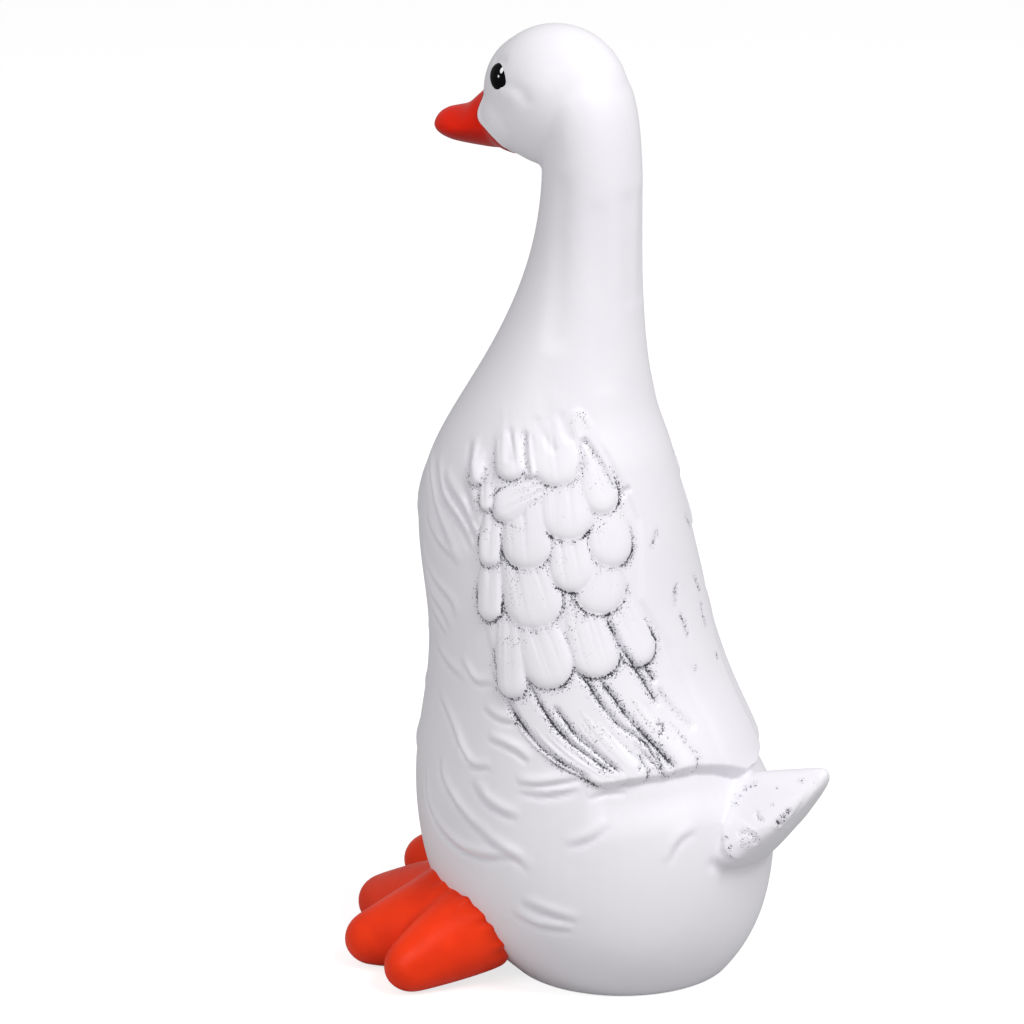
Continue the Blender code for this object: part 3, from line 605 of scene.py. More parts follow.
def bill_form():
    rings = []
    for forward, top, bottom, half_width in BILL_SECTIONS:
        edge = bottom + (top - bottom) * BILL_EDGE
        ring = []
        for a in ring_angles():
            reach = top - edge if math.cos(a) > 0 else edge - bottom
            height = edge + reach * pinched(math.cos(a)) / drawn_in()
            ring.append(Vector((half_width * math.sin(a) / drawn_in(), forward, height)))
        rings.append(ring)
    return grown_form("bill", rings)


def tail():
    rings = []
    for back, ridge, eaves, keel, half_width in TAIL_SECTIONS:
        near_half = [
            (0.0, ridge),
            (0.35, ridge - (ridge - eaves) * 0.18),
            (0.75, ridge - (ridge - eaves) * 0.62),
            (1.0, eaves),
            (0.8, eaves - (eaves - keel) * 0.45),
            (0.4, keel + (eaves - keel) * 0.1),
            (0.0, keel),
        ]
        far_half = [(-share, height) for share, height in near_half[-2:0:-1]]
        rings.append([Vector((share * half_width, back, height)) for share, height in near_half + far_half])
    return grown_form("tail", rings)


def toe(heel_across, heel_forward, heel_lift, heel_radius, tip_across, tip_forward, side):
    heel = Vector((heel_across * side, heel_forward, heel_lift + heel_radius - SOLE_DEPTH))
    end = Vector((tip_across * side, tip_forward, TOE_TIP_RADIUS - SOLE_DEPTH))
    along = (end - heel).normalized()
    across = along.cross(Vector((0, 0, 1))).normalized()
    up = across.cross(along)
    length = (end - heel).length
    sections = []
    for share in TOE_SHARES:
        radius = heel_radius + (TOE_TIP_RADIUS - heel_radius) * share ** TOE_TAPER
        sections.append((heel + along * length * share, radius))
    for angle in TOE_ROUND_ANGLES:
        turn = math.radians(angle)
        sections.append((end + along * TOE_TIP_RADIUS * math.sin(turn), TOE_TIP_RADIUS * math.cos(turn)))
    return grown_form("toe", [
        [centre + (across * math.sin(a) + up * math.cos(a)) * radius / drawn_in() for a in ring_angles()]
        for centre, radius in sections
    ])


def run_together(name, forms, grid, softening):
    """Joins forms, runs them together into one closed skin and softens it."""
    pick(forms[0])
    for form in forms[1:]:
        form.select_set(True)
    bpy.ops.object.join()
    joined = bpy.context.object
    joined.name = name
    finish_with(joined, "REMESH", mode="VOXEL", voxel_size=grid)
    finish_with(joined, "SMOOTH", iterations=softening)
    return joined


def cut_on_ground(piece):
    """Cuts a piece flat at the ground and closes it there."""
    open_for_edit(piece)
    bpy.ops.mesh.bisect(
        plane_co=(0, 0, 0), plane_no=(0, 0, 1), use_fill=True, clear_inner=True, threshold=CUT_TOLERANCE,
    )
    close_edit()


def points_of(mesh):
    points = np.empty(len(mesh.vertices) * 3)
    mesh.vertices.foreach_get("co", points)
    return points.reshape(-1, 3)


def normals_of(mesh):
    normals = np.empty(len(mesh.vertices) * 3)
    mesh.vertex_normals.foreach_get("vector", normals)
    return normals.reshape(-1, 3)


def set_points(mesh, points):
    mesh.vertices.foreach_set("co", points.ravel())
    mesh.update()


def tree_of(forms):
    points = []
    faces = []
    for form in forms:
        first = len(points)
        points += [vertex.co.copy() for vertex in form.data.vertices]
        faces += [[first + i for i in face.vertices] for face in form.data.polygons]
    return BVHTree.FromPolygons(points, faces)


def gaps_to(skin, points):
    """How far each point is from a skin."""
    return np.array([skin.find_nearest(Vector(point))[3] for point in points])


def on_skin(skin, turn, height):
    """The outermost point of a skin at a turn and height."""
    angle = math.radians(turn)
    outward = Vector((math.sin(angle), -math.cos(angle), 0))
    return np.array(skin.ray_cast(outward + Vector((0, 0, height)), -outward)[0])


def curve_on_skin(skin, places):
    return curve_through([on_skin(skin, *place) for place in places])


def curve_through(knots):
    """A smooth curve through some points, as many short runs."""
    knots = [np.array(knot) for knot in knots]
    knots = [2 * knots[0] - knots[1]] + knots + [2 * knots[-1] - knots[-2]]
    curve = []
    for before, start, end, after in zip(knots, knots[1:], knots[2:], knots[3:]):
        for step in range(CURVE_STEPS):
            t = step / CURVE_STEPS
            curve.append(0.5 * (
                2 * start + (end - before) * t
                + (2 * before - 5 * start + 4 * end - after) * t ** 2
                + (3 * start - before - 3 * end + after) * t ** 3
            ))
    return np.array(curve + [knots[-2]])


def smooth_step(values):
    values = np.clip(values, 0, 1)
    return values * values * (3 - 2 * values)


def onto_left(points):
    """The points, with those of the right side mirrored onto the left."""
    return np.abs(points) * (1, 0, 0) + points * (0, 1, 1)


def turns_of(points):
    return np.degrees(np.arctan2(points[:, 0], -points[:, 1]))


def beside_curve(points, normals, curve):
    """How far along a curve and how far aside of it each point is, and the curve's length."""
    steps = np.linalg.norm(np.diff(curve, axis=0), axis=1)
    starts = np.concatenate([[0], np.cumsum(steps)])
    best = np.full(len(points), np.inf)
    along = np.zeros(len(points))
    aside = np.zeros(len(points))
    for number, (start, step) in enumerate(zip(curve, steps)):
        run = (curve[number + 1] - start) / step
        offset = points - start
        forward = offset @ run
        held = np.clip(forward, 0, step)
        gap = np.linalg.norm(offset - held[:, None] * run, axis=1)
        if number == 0:
            held = np.minimum(forward, step)
        if number == len(steps) - 1:
            held = np.maximum(forward, 0)
        across = np.cross(normals, run)
        across /= np.maximum(np.linalg.norm(across, axis=1, keepdims=True), 1e-6)
        closer = gap < best
        best[closer] = gap[closer]
        along[closer] = starts[number] + held[closer]
        aside[closer] = (offset * across).sum(axis=1)[closer]
    return along, aside, best, starts[-1]


class Carving:
    """The relief of the skin: its height over each point, and how dark the wash is there.

    The points of the right side are given mirrored onto the left, so that both sides are carved alike.
    """

    def __init__(self, points, normals, on_right, trunk_skin, whole_skin):
        self.points = points
        self.normals = normals
        self.on_right = on_right
        self.trunk_skin = trunk_skin
        self.whole_skin = whole_skin
        self.height = np.zeros(len(points))
        self.wash = np.zeros(len(points))
        self.aside = np.zeros(len(points))
        self.along = np.zeros(len(points))
        self.streaks = np.zeros(len(points))
        self.random = np.random.default_rng(DENT_SEED)

    def near(self, curve, reach):
        """The points round a curve, and where they lie beside it."""
        low = curve.min(axis=0) - reach
        high = curve.max(axis=0) + reach
        chosen = np.nonzero(((self.points > low) & (self.points < high)).all(axis=1))[0]
        return chosen, *beside_curve(self.points[chosen], self.normals[chosen], curve)

    def plate(self):
        """The plain plate of the wing and the smooth cape behind it, both with a soft front edge."""
        turns = turns_of(self.points)
        heights = self.points[:, 2]
        below_top = smooth_step((CAPE_TOP - heights) / CAPE_FADE)
        for edge, thickness, softness in (
            (WING_EDGE, WING_THICKNESS, WING_EDGE_SOFTNESS),
            (CAPE_EDGE, CAPE_THICKNESS, CAPE_EDGE_SOFTNESS),
        ):
            edge_turns, edge_heights = zip(*edge)
            front = np.interp(heights, edge_heights[::-1], edge_turns[::-1])
            over_front = smooth_step((turns - front) / softness)
            above_end = smooth_step((heights - edge_heights[-1]) / PLATE_END_SOFTNESS)
            self.height = np.maximum(self.height, thickness * over_front * below_top * above_end)

    def leave_back_smooth(self, plain):
        """Leaves the hidden right wing's feathers off where they would show beyond the back."""
        near_front = smooth_step((RIGHT_WING_END - turns_of(self.points)) / RIGHT_WING_SOFTNESS)
        kept = np.where(self.on_right, near_front, 1)
        self.height = plain + (self.height - plain) * kept
        self.wash *= kept
        self.streaks *= kept

    def flare(self):
        """Brings the back of the cape out toward its hem."""
        high, low = CAPE_FLARE_HEIGHTS
        lower = smooth_step((high - self.points[:, 2]) / (high - low))
        behind = smooth_step((turns_of(self.points) - CAPE_FLARE_START) / CAPE_FLARE_SOFTNESS)
        self.height += CAPE_FLARE * lower * behind

    def feathers(self, table, thickness, root_rise, covered_root, streaked, washed):
        """Pillow-shaped scales, thin at the root and thick at the round tip, with wash under their tips."""
        laid = []
        for places, width in table:
            curve = curve_on_skin(self.trunk_skin, places)
            curve[0] -= (curve[-1] - curve[0]) * covered_root
            chosen, along, aside, _, length = self.near(curve, width)
            tip_round = min(width / 2, length)
            narrowing = ROOT_NARROWING * (1 - smooth_step(along / length / NARROW_SHARE))
            half = width / 2 * (1 - narrowing)
            past_tip = np.maximum(along - (length - tip_round), 0) / tip_round
            past_root = np.maximum(-along, 0) / (length * ROOT_ROUND)
            reach = np.sqrt((aside / half) ** 2 + past_tip ** 2 + past_root ** 2)
            share = np.clip(along / length, 0, 1)
            rise = thickness * (root_rise + (1 - root_rise) * share)
            swell = np.sqrt(np.clip(1 - reach ** PILLOW, 0, 1))
            height = rise * swell
            for dent in self.random.uniform(-DENT_SPREAD, DENT_SPREAD, DENTS):
                across_dent = np.exp(-((aside - dent * half) / DENT_WIDTH) ** 2)
                height -= DENT_DEPTH * across_dent * (1 - share) * swell
            over = height > self.height[chosen]
            top = chosen[over]
            self.height[top] = height[over]
            self.aside[top] = aside[over] + len(laid)
            self.along[top] = along[over]
            inside = smooth_step((1 - reach[over]) / STREAK_EDGE)
            self.streaks[top] = streaked * (1 - share[over]) * inside
            laid.append((chosen, reach, half, share, rise))
        for chosen, reach, half, share, rise in laid:
            outside = np.maximum(reach - 1, 0) * half
            band = np.exp(-outside / WASH_REACH) * smooth_step((share - WASH_START) / WASH_RISE)
            fall = (rise * OVERHANG_SHARE - self.height[chosen]) / OVERHANG_DEPTH
            overhang = np.clip(fall, 0, 1) ** OVERHANG_POWER
            beside = washed * band * overhang * (reach > EDGE_SHARE)
            self.wash[chosen] = np.maximum(self.wash[chosen], beside)

    def groove(self, curve, depth, width, wash=0.0):
        chosen, along, _, gap, length = self.near(curve, width * GROOVE_REACH)
        ends = smooth_step(GROOVE_END - np.abs(2 * along / length - 1) ** GROOVE_END_POWER)
        self.height[chosen] -= depth * np.exp(-(gap / width) ** 2) * ends
        if wash:
            core = np.exp(-(gap / (WASH_CORE_WIDTH * width)) ** 2)
            halo = WASH_HALO * np.exp(-(gap / (WASH_HALO_WIDTH * width)) ** 2)
            self.wash[chosen] = np.maximum(self.wash[chosen], wash * np.maximum(core, halo) * ends)

    def spot(self, place, radius, strength):
        gap = np.linalg.norm(self.points - np.array(place), axis=1)
        self.wash = np.maximum(self.wash, strength * np.exp(-(gap / radius) ** 2))

    def fold(self, places):
        """A crease that fades out at both ends, with a soft bank along one side."""
        curve = curve_on_skin(self.trunk_skin, places)
        chosen, along, aside, gap, length = self.near(curve, BANK_WIDTH * BANK_REACH)
        share = np.clip(along / length, 0, 1)
        taper = np.sin(math.pi * share) ** FOLD_TAPER * (gap < BANK_WIDTH * BANK_REACH)
        crease = -np.exp(-(aside / FOLD_WIDTH) ** 2)
        bank = BANK_SHARE * np.exp(-((aside - BANK_WIDTH) / BANK_WIDTH) ** 2)
        depth = FOLD_DEPTH * min(1, (length / FOLD_LENGTH) ** FOLD_LENGTH_POWER)
        self.height[chosen] += depth * (crease + bank) * taper

    def hem(self):
        """Ends the wing and cape in a ledge, draws the skin in below it and brings it back lower down."""
        turns = turns_of(self.points)
        hem_turns, hem_heights = zip(*HEM_LINE)
        below = np.interp(turns, hem_turns, hem_heights) - self.points[:, 2]
        step = np.clip(below / HEM_WIDTH, 0, 1)
        recover = smooth_step((HEM_RECOVERY - below) / HEM_RECOVERY_SOFTNESS)
        beside = smooth_step((turns - HEM_START) / HEM_START_SOFTNESS)
        on_wing = 1 - step * beside
        self.height = self.height * on_wing - HEM_DEPTH * step * recover * beside
        self.wash *= on_wing

    def tail_face(self):
        """Raises the tail behind the step that it starts at, which fades out toward its top."""
        curve = curve_through(TAIL_STEP)
        chosen, along, aside, _, length = self.near(curve, TAIL_FACE_REACH)
        share = along / length
        past_top = smooth_step(share / TAIL_STEP_FADE)
        before_end = smooth_step((TAIL_STEP_END - share) / TAIL_STEP_END_FADE)
        face = smooth_step(aside / TAIL_STEP_WIDTH) * np.exp(-(aside / TAIL_FACE_WIDTH) ** 2)
        self.height[chosen] += TAIL_STEP_HEIGHT * face * (past_top * before_end)


def lip_curve(skin):
    """Where the V of the bill's edge meets the left side of the face."""
    places = []
    for forward, height in BILL_OUTLINE[BILL_EDGE_CORNERS]:
        side = Vector((BILL_BLOCK_HALF_WIDTH, forward + LIP_OFFSET, height))
        places.append(np.array(skin.ray_cast(side, Vector((-1, 0, 0)))[0]))
    return curve_through(places)


def carve_body(carving, on_trunk):
    """All of the body's relief, in the order in which it is worked."""
    carving.plate()
    plain = carving.height.copy()
    carving.feathers(SHOULDER_FEATHERS, COVERT_THICKNESS, SHOULDER_ROOT_RISE, 0, 0, SHOULDER_WASH)
    carving.feathers(COVERTS, COVERT_THICKNESS, COVERED_ROOT_RISE, COVERED_ROOT, 1, 1)
    carving.feathers(FLIGHT_FEATHERS, FLIGHT_THICKNESS, FLIGHT_ROOT_RISE, 0, 1, 1)
    for places, wash in WING_CUTS:
        carving.groove(curve_on_skin(carving.trunk_skin, places), CUT_DEPTH, CUT_WIDTH, wash)
    for places in SHOULDER_VALLEYS:
        carving.groove(curve_on_skin(carving.trunk_skin, places), VALLEY_DEPTH, VALLEY_WIDTH)
    carving.leave_back_smooth(plain)
    for places in NICKS:
        carving.groove(curve_on_skin(carving.trunk_skin, places), NICK_DEPTH, NICK_WIDTH, NICK_WASH)
    carving.flare()
    carving.hem()
    for places in FOLDS:
        carving.fold(places)
    carving.height *= on_trunk
    carving.wash *= on_trunk
    for places in NECK_HOLLOWS:
        carving.groove(curve_on_skin(carving.whole_skin, places), NECK_DEPTH, NECK_WIDTH)
    for places, depth, width in HEAD_CREASES:
        carving.groove(curve_on_skin(carving.whole_skin, places), depth, width)
    carving.groove(lip_curve(carving.whole_skin), -LIP_HEIGHT, LIP_WIDTH)
    carving.tail_face()
    for places, depth, width, wash in TAIL_CREASES:
        carving.groove(curve_through(places), depth, width, wash)
    for place, radius, strength in TAIL_SPOTS:
        carving.spot(place, radius, strength)


def between(value, limits):
    return limits[0] < value < limits[1]


def refine(piece):
    """Divides the faces of the wings, hem, tail and bill base once more, so that their edges are crisp."""
    open_for_edit(piece)
    bpy.ops.mesh.select_all(action="DESELECT")
    bpy.ops.mesh.select_mode(type="FACE")
    edited = bmesh.from_edit_mesh(piece.data)
    for face in edited.faces:
        middle = face.calc_center_median()
        turn = math.degrees(math.atan2(abs(middle.x), -middle.y))
        on_wing = between(turn, FINE_WING_TURNS) and between(middle.z, FINE_WING_HEIGHTS)
        on_hem = turn > FINE_HEM_START and between(middle.z, FINE_HEM_HEIGHTS)
        on_tail = middle.y > FINE_TAIL_START and middle.z > FINE_TAIL_LOW
        at_bill = middle.y < FINE_BILL_START and between(middle.z, FINE_BILL_HEIGHTS)
        face.select = on_wing or on_hem or on_tail or at_bill
    bmesh.update_edit_mesh(piece.data)
    bpy.ops.mesh.subdivide(number_cuts=1)
    bpy.ops.mesh.select_all(action="DESELECT")
    close_edit()


def averaged(mesh, values, passes):
    """Spreads a value over the skin from each point to its neighbours."""
    edges = np.empty(len(mesh.edges) * 2, dtype=np.int64)
    mesh.edges.foreach_get("vertices", edges)
    start, end = edges.reshape(-1, 2).T
    count = len(values)
    neighbours = np.bincount(start, minlength=count) + np.bincount(end, minlength=count)
    for _ in range(passes):
        total = np.bincount(start, values[end], count) + np.bincount(end, values[start], count)
        values = (values + total / np.maximum(neighbours, 1)) / 2
    return values


def write_attribute(mesh, name, values):
    layer = mesh.attributes.new(name, "FLOAT", "POINT")
    layer.data.foreach_set("value", values.astype(np.float32))


def write_hollow_shade(mesh, passes, depth):
    """Marks where shade is painted into the surface's hollows, from 0 on level ground to 1 in a crevice this
    deep.
    """
    points = points_of(mesh)
    spread = np.stack([averaged(mesh, points[:, axis], passes) for axis in range(3)], axis=1)
    # How far each point lies in a dip, which sets how much shade is painted there.
    painted_shade = ((spread - points) * normals_of(mesh)).sum(axis=1)
    write_attribute(mesh, "painted_shade", np.clip(painted_shade / depth, 0, 1))


def sculpt(piece, trunk_skin, tail_skin, whole_skin):
    """Carves both sides and marks the wash in the carving."""
    mesh = piece.data
    points = points_of(mesh)
    normals = normals_of(mesh)
    left_normals = normals * np.where(points[:, :1] < 0, (-1, 1, 1), (1, 1, 1))
    near_trunk = smooth_step((2 * CARVING_FADE - gaps_to(trunk_skin, points)) / CARVING_FADE)
    on_trunk = near_trunk * smooth_step(gaps_to(tail_skin, points) / TAIL_CLEARANCE)
    carving = Carving(onto_left(points), left_normals, points[:, 0] < 0, trunk_skin, whole_skin)
    carve_body(carving, on_trunk)
    points += normals * averaged(mesh, carving.height, 1)[:, None]
    set_points(mesh, points)
    write_attribute(mesh, "wash", carving.wash)
    write_attribute(mesh, "aside", carving.aside)
    write_attribute(mesh, "along", carving.along)
    write_attribute(mesh, "streaks", carving.streaks * on_trunk)
    write_hollow_shade(mesh, BODY_HOLLOW_PASSES, BODY_HOLLOW_DEPTH)


def body_pieces():
    """The white body in two halves, its bill, and the trunk's skin, which the feet meet."""
    trunk_form = trunk()
    head = [egg("skull", *SKULL), egg("brow", *BROW), egg("jaw", *JAW)]
    tail_form = tail()
    forms = [trunk_form, *head, tail_form, bill_form()]
    trunk_skin = tree_of([trunk_form])
    tail_skin = tree_of([tail_form])
    whole_skin = tree_of(forms)
    piece = run_together("duck_body", forms, BODY_GRID, BODY_SOFTENING)
    bill = bill_piece(piece)
    refine(piece)
    sculpt(piece, trunk_skin, tail_skin, whole_skin)
    cut_on_ground(piece)
    return halves(piece), bill, trunk_skin


def halves(piece):
    """Two closed halves of a piece, which keep the whole one's normals to be shaded by."""
    open_for_edit(piece)
    bpy.ops.mesh.bisect(plane_co=(0, 0, 0), plane_no=(1, 0, 0), threshold=CUT_TOLERANCE)
    close_edit()
    whole = piece.data.attributes.new("whole_normal", "FLOAT_VECTOR", "POINT")
    whole.data.foreach_set("vector", normals_of(piece.data).astype(np.float32).ravel())
    pick(piece)
    bpy.ops.object.duplicate()
    other = bpy.context.object
    for half, name, direction in ((piece, "left_body", 1), (other, "right_body", -1)):
        half.name = name
        half.data.name = name
        open_for_edit(half)
        bpy.ops.mesh.bisect(
            plane_co=(0, 0, 0), plane_no=(direction, 0, 0), use_fill=True, clear_inner=True,
            threshold=CUT_TOLERANCE,
        )
        close_edit()
    return piece, other


def shade_as_whole(half):
    """Takes the shading of a half from the whole one, except on its flat cuts."""
    mesh = half.data
    stored = np.empty(len(mesh.vertices) * 3, dtype=np.float32)
    mesh.attributes["whole_normal"].data.foreach_get("vector", stored)
    corners = np.empty(len(mesh.loops), dtype=np.int64)
    mesh.loops.foreach_get("vertex_index", corners)
    shading = stored.reshape(-1, 3)[corners]
    for face in mesh.polygons:
        if abs(face.normal.x) > LEVEL_NORMAL or face.normal.z < -LEVEL_NORMAL:
            in_middle = max(abs(mesh.vertices[i].co.x) for i in face.vertices) < CUT_TOLERANCE
            if in_middle or face.center.z < CUT_TOLERANCE:
                shading[face.loop_start:face.loop_start + face.loop_total] = face.normal
    mesh.normals_split_custom_set(shading.tolist())


def bill_piece(body):
    """The painted bill: the front of the head's skin up to a V-shaped edge, a little thicker."""
    pick(body)
    bpy.ops.object.duplicate()
    bill = bpy.context.object
    bill.name = "bill"
    bill.data.name = "bill"
    bpy.ops.object.mode_set(mode="EDIT")
    for place, direction in ((BILL_BLOCK_FRONT, (0, 1, 0)), (BILL_BLOCK_LOW, (0, 0, -1))):
        bpy.ops.mesh.select_all(action="SELECT")
        bpy.ops.mesh.bisect(plane_co=place, plane_no=direction, use_fill=True, clear_outer=True)
    close_edit()
    finish_with(bill, "SUBSURF", levels=1, render_levels=1)
    points = points_of(bill.data)
    set_points(bill.data, points + normals_of(bill.data) * PAINT_THICKNESS)
    cutter = bill_cutter()
    finish_with(bill, "BOOLEAN", operation="INTERSECT", object=cutter, solver="EXACT")
    bpy.data.objects.remove(cutter)
    return bill


def shade_bill(bill):
    """Marks where shade is painted on the bill: under it, and as a painted shadow along its edge at the
    face.
    """
    mesh = bill.data
    points = points_of(mesh)
    # Painted shade where the bill looks down.
    below = smooth_step(BILL_SHADE_START - normals_of(mesh)[:, 2] * BILL_SHADE_SLOPE)
    side = onto_left(points)[:, 1:]
    edge = np.array(BILL_OUTLINE[BILL_EDGE_CORNERS])
    gap = np.full(len(points), np.inf)
    for start, end in zip(edge, edge[1:]):
        run = end - start
        share = np.clip((side - start) @ run / (run @ run), 0, 1)
        gap = np.minimum(gap, np.linalg.norm(side - start - share[:, None] * run, axis=1))
    # A painted shadow along the bill's edge at the face.
    shadow_rim = np.exp(-(gap / BILL_SHADOW_RIM) ** 2)
    write_attribute(mesh, "painted_shade", np.maximum(below * BILL_SHADE_DEPTH, shadow_rim))


def bill_cutter():
    """A block whose back edge follows the V where the bill meets the face."""
    pick_nothing()
    bpy.ops.mesh.primitive_plane_add(size=1)
    block = bpy.context.object
    block.name = "bill_cutter"
    open_for_edit(block)
    bpy.ops.mesh.delete(type="VERT")
    edited = bmesh.from_edit_mesh(block.data)
    corners = [edited.verts.new((-BILL_BLOCK_HALF_WIDTH, *corner)) for corner in BILL_OUTLINE]
    edited.faces.new(corners)
    bmesh.update_edit_mesh(block.data)
    bpy.ops.mesh.select_all(action="SELECT")
    bpy.ops.mesh.extrude_region_move(TRANSFORM_OT_translate={"value": (2 * BILL_BLOCK_HALF_WIDTH, 0, 0)})
    turn_outward()
    close_edit()
    return block


def foot_piece(name, side, toes, trunk_skin):
    """Three toes run together, with a rippled edge where they meet the belly."""
    piece = run_together(name, [toe(*values, side) for values in toes], FOOT_GRID, FOOT_SOFTENING)
    mesh = piece.data
    points = points_of(mesh)
    around = points[:, 2] - RIPPLE_SLANT * points[:, 1]
    first_wave = np.sin(2 * math.pi * around / RIPPLE_PITCH)
    second_wave = np.sin(2 * math.pi * around / (RIPPLE_PITCH * SECOND_RIPPLE_PITCH))
    ripple = first_wave + SECOND_RIPPLE_HEIGHT * second_wave
    lift = RIPPLE_HEIGHT * ripple * np.exp(-(gaps_to(trunk_skin, points) / RIPPLE_REACH) ** 2)
    set_points(mesh, points + normals_of(mesh) * lift[:, None])
    write_hollow_shade(mesh, FOOT_HOLLOW_PASSES, FOOT_HOLLOW_DEPTH)
    cut_on_ground(piece)
    return piece


def eye_piece(name, side):
    """A low tilted dome, drawn out toward the bill at its lower corner."""
    pick_nothing()
    bpy.ops.mesh.primitive_uv_sphere_add(segments=64, ring_count=48)
    made = bpy.context.object
    made.name = name
    outward = Vector(EYE_OUTWARD).normalized()
    upward = Vector((0, math.sin(math.radians(EYE_TILT)), math.cos(math.radians(EYE_TILT))))
    upward = (upward - outward * upward.dot(outward)).normalized()
    backward = upward.cross(outward) * -1
    points = points_of(made.data)
    corner = np.array((0.0, *EYE_CORNER))
    corner /= np.linalg.norm(corner)
    pull = np.clip(points @ corner, 0, 1) ** EYE_CORNER_SHARPNESS * EYE_CORNER_PULL
    points += pull[:, None] * corner
    points *= np.array(EYE_HALF_SIZES)
    frame_axes = np.array((outward, backward, upward))
    placed = points @ frame_axes + np.array(EYE_CENTRE)
    placed[:, 0] *= side
    set_points(made.data, placed)
    open_for_edit(made)
    turn_outward()
    close_edit()
    glint = np.full(len(placed), 1.0)
    for place, half_sizes in GLINTS:
        offset = (placed - np.array((place[0] * side, *place[1:]))) / np.array(half_sizes)
        glint = np.minimum(glint, np.linalg.norm(offset, axis=1) - 1)
    write_attribute(made.data, "glint", glint)
    return made


def new_material(name):
    material = bpy.data.materials.new(name)
    material.use_nodes = True
    return material, material.node_tree


def wire(tree, value, socket):
    """Links an output to a socket, or sets a plain value on it."""
    if isinstance(value, bpy.types.NodeSocket):
        tree.links.new(value, socket)
    else:
        socket.default_value = value


def add_node(tree, kind, **inputs):
    made = tree.nodes.new(kind)
    for name, value in inputs.items():
        wire(tree, value, made.inputs[name.replace("_", " ")])
    return made


def maths(tree, operation, *values):
    made = tree.nodes.new("ShaderNodeMath")
    made.operation = operation
    for value, socket in zip(values, made.inputs):
        wire(tree, value, socket)
    return made.outputs[0]


def ramp(tree, value, low, high):
    """0 below one value, 1 above another, and smooth between them."""
    made = tree.nodes.new("ShaderNodeMapRange")
    made.interpolation_type = "SMOOTHSTEP"
    wire(tree, value, made.inputs["Value"])
    wire(tree, low, made.inputs["From Min"])
    wire(tree, high, made.inputs["From Max"])
    return made.outputs["Result"]


def blend(tree, share, first, second):
    made = tree.nodes.new("ShaderNodeMix")
    made.data_type = "RGBA"
    wire(tree, share, made.inputs["Factor"])
    wire(tree, first, made.inputs["A"])
    wire(tree, second, made.inputs["B"])
    return made.outputs["Result"]


def noise(tree, place, scale, detail, distortion=0.0):
    made = add_node(
        tree, "ShaderNodeTexNoise", Vector=place, Scale=scale, Detail=detail, Distortion=distortion,
    )
    return made.outputs["Fac"]


def attribute(tree, name):
    made = tree.nodes.new("ShaderNodeAttribute")
    made.attribute_name = name
    return made.outputs["Fac"]


def hand_painted_group():
    """Paint laid on by hand: a slow change of tone, and the fine unevenness of its surface."""
    group = bpy.data.node_groups.new("hand_painted", "ShaderNodeTree")
    for name in ("Patch Scale", "Grain Scale"):
        group.interface.new_socket(name, in_out="INPUT", socket_type="NodeSocketFloat")
    for name in ("Tone", "Height"):
        group.interface.new_socket(name, in_out="OUTPUT", socket_type="NodeSocketFloat")
    given = group.nodes.new("NodeGroupInput")
    made = group.nodes.new("NodeGroupOutput")
    place = group.nodes.new("ShaderNodeTexCoord").outputs["Object"]
    patches = noise(group, place, given.outputs["Patch Scale"], 4.0)
    grain = noise(group, place, given.outputs["Grain Scale"], 3.0)
    wire(group, ramp(group, patches, *TONE_LEVELS), made.inputs["Tone"])
    wire(group, maths(group, "MULTIPLY_ADD", patches, 2.5, grain), made.inputs["Height"])
    return group


def hand_painted(tree, group, patch_scale, grain_scale):
    made = tree.nodes.new("ShaderNodeGroup")
    made.node_tree = group
    made.inputs["Patch Scale"].default_value = patch_scale
    made.inputs["Grain Scale"].default_value = grain_scale
    return made.outputs["Tone"], made.outputs["Height"]


def bump(tree, shader, height, strength, distance):
    made = add_node(tree, "ShaderNodeBump", Height=height, Strength=strength, Distance=distance)
    tree.links.new(made.outputs["Normal"], shader.inputs["Normal"])


def wash_marks(tree, place):
    """Where the dark wash stays in specks, hairs and solid lines, with a grey film of wash and painted
    shade.
    """
    wash = attribute(tree, "wash")
    patches = ramp(tree, noise(tree, place, WASH_PATCHES, 1.0), *PATCH_LEVELS)
    scattered = maths(tree, "MULTIPLY", attribute(tree, "streaks"), maths(tree, "MULTIPLY", patches, 0.20))
    level = maths(tree, "MULTIPLY", wash, maths(tree, "MULTIPLY_ADD", patches, 0.45, 0.55))
    level = maths(tree, "MAXIMUM", level, scattered)

    specks = maths(tree, "MULTIPLY_ADD", level, 0.30, noise(tree, place, WASH_SPECKS, 2.0, 0.8))
    specks = maths(tree, "MULTIPLY", ramp(tree, specks, *SPECK_LEVELS), ramp(tree, level, 0.02, 0.12))
    off_middle = maths(tree, "SUBTRACT", noise(tree, place, WASH_HAIRS, 1.0, 0.6), 0.5)
    hairs = ramp(tree, maths(tree, "ABSOLUTE", off_middle), *HAIR_LEVELS)
    hairs = maths(tree, "MULTIPLY", hairs, ramp(tree, level, 0.22, 0.55))
    # The solid lines are partly wash and partly a painted contact shadow under the feathers' edges.
    lines = maths(tree, "MULTIPLY", ramp(tree, wash, *WASH_AND_SHADOW_LINE_LEVELS), ramp(tree, patches, -0.2, 0.7))
    lines = maths(tree, "MULTIPLY", lines, 0.85)
    dark = maths(tree, "MAXIMUM", specks, maths(tree, "MAXIMUM", hairs, lines))

    # Painted shade in the dips of the surface, laid in the same grey film as the wash.
    painted_shade = maths(tree, "MULTIPLY", attribute(tree, "painted_shade"), 0.6)
    film_and_shade = maths(tree, "MULTIPLY", maths(tree, "MAXIMUM", wash, painted_shade), 0.42)
    return dark, film_and_shade


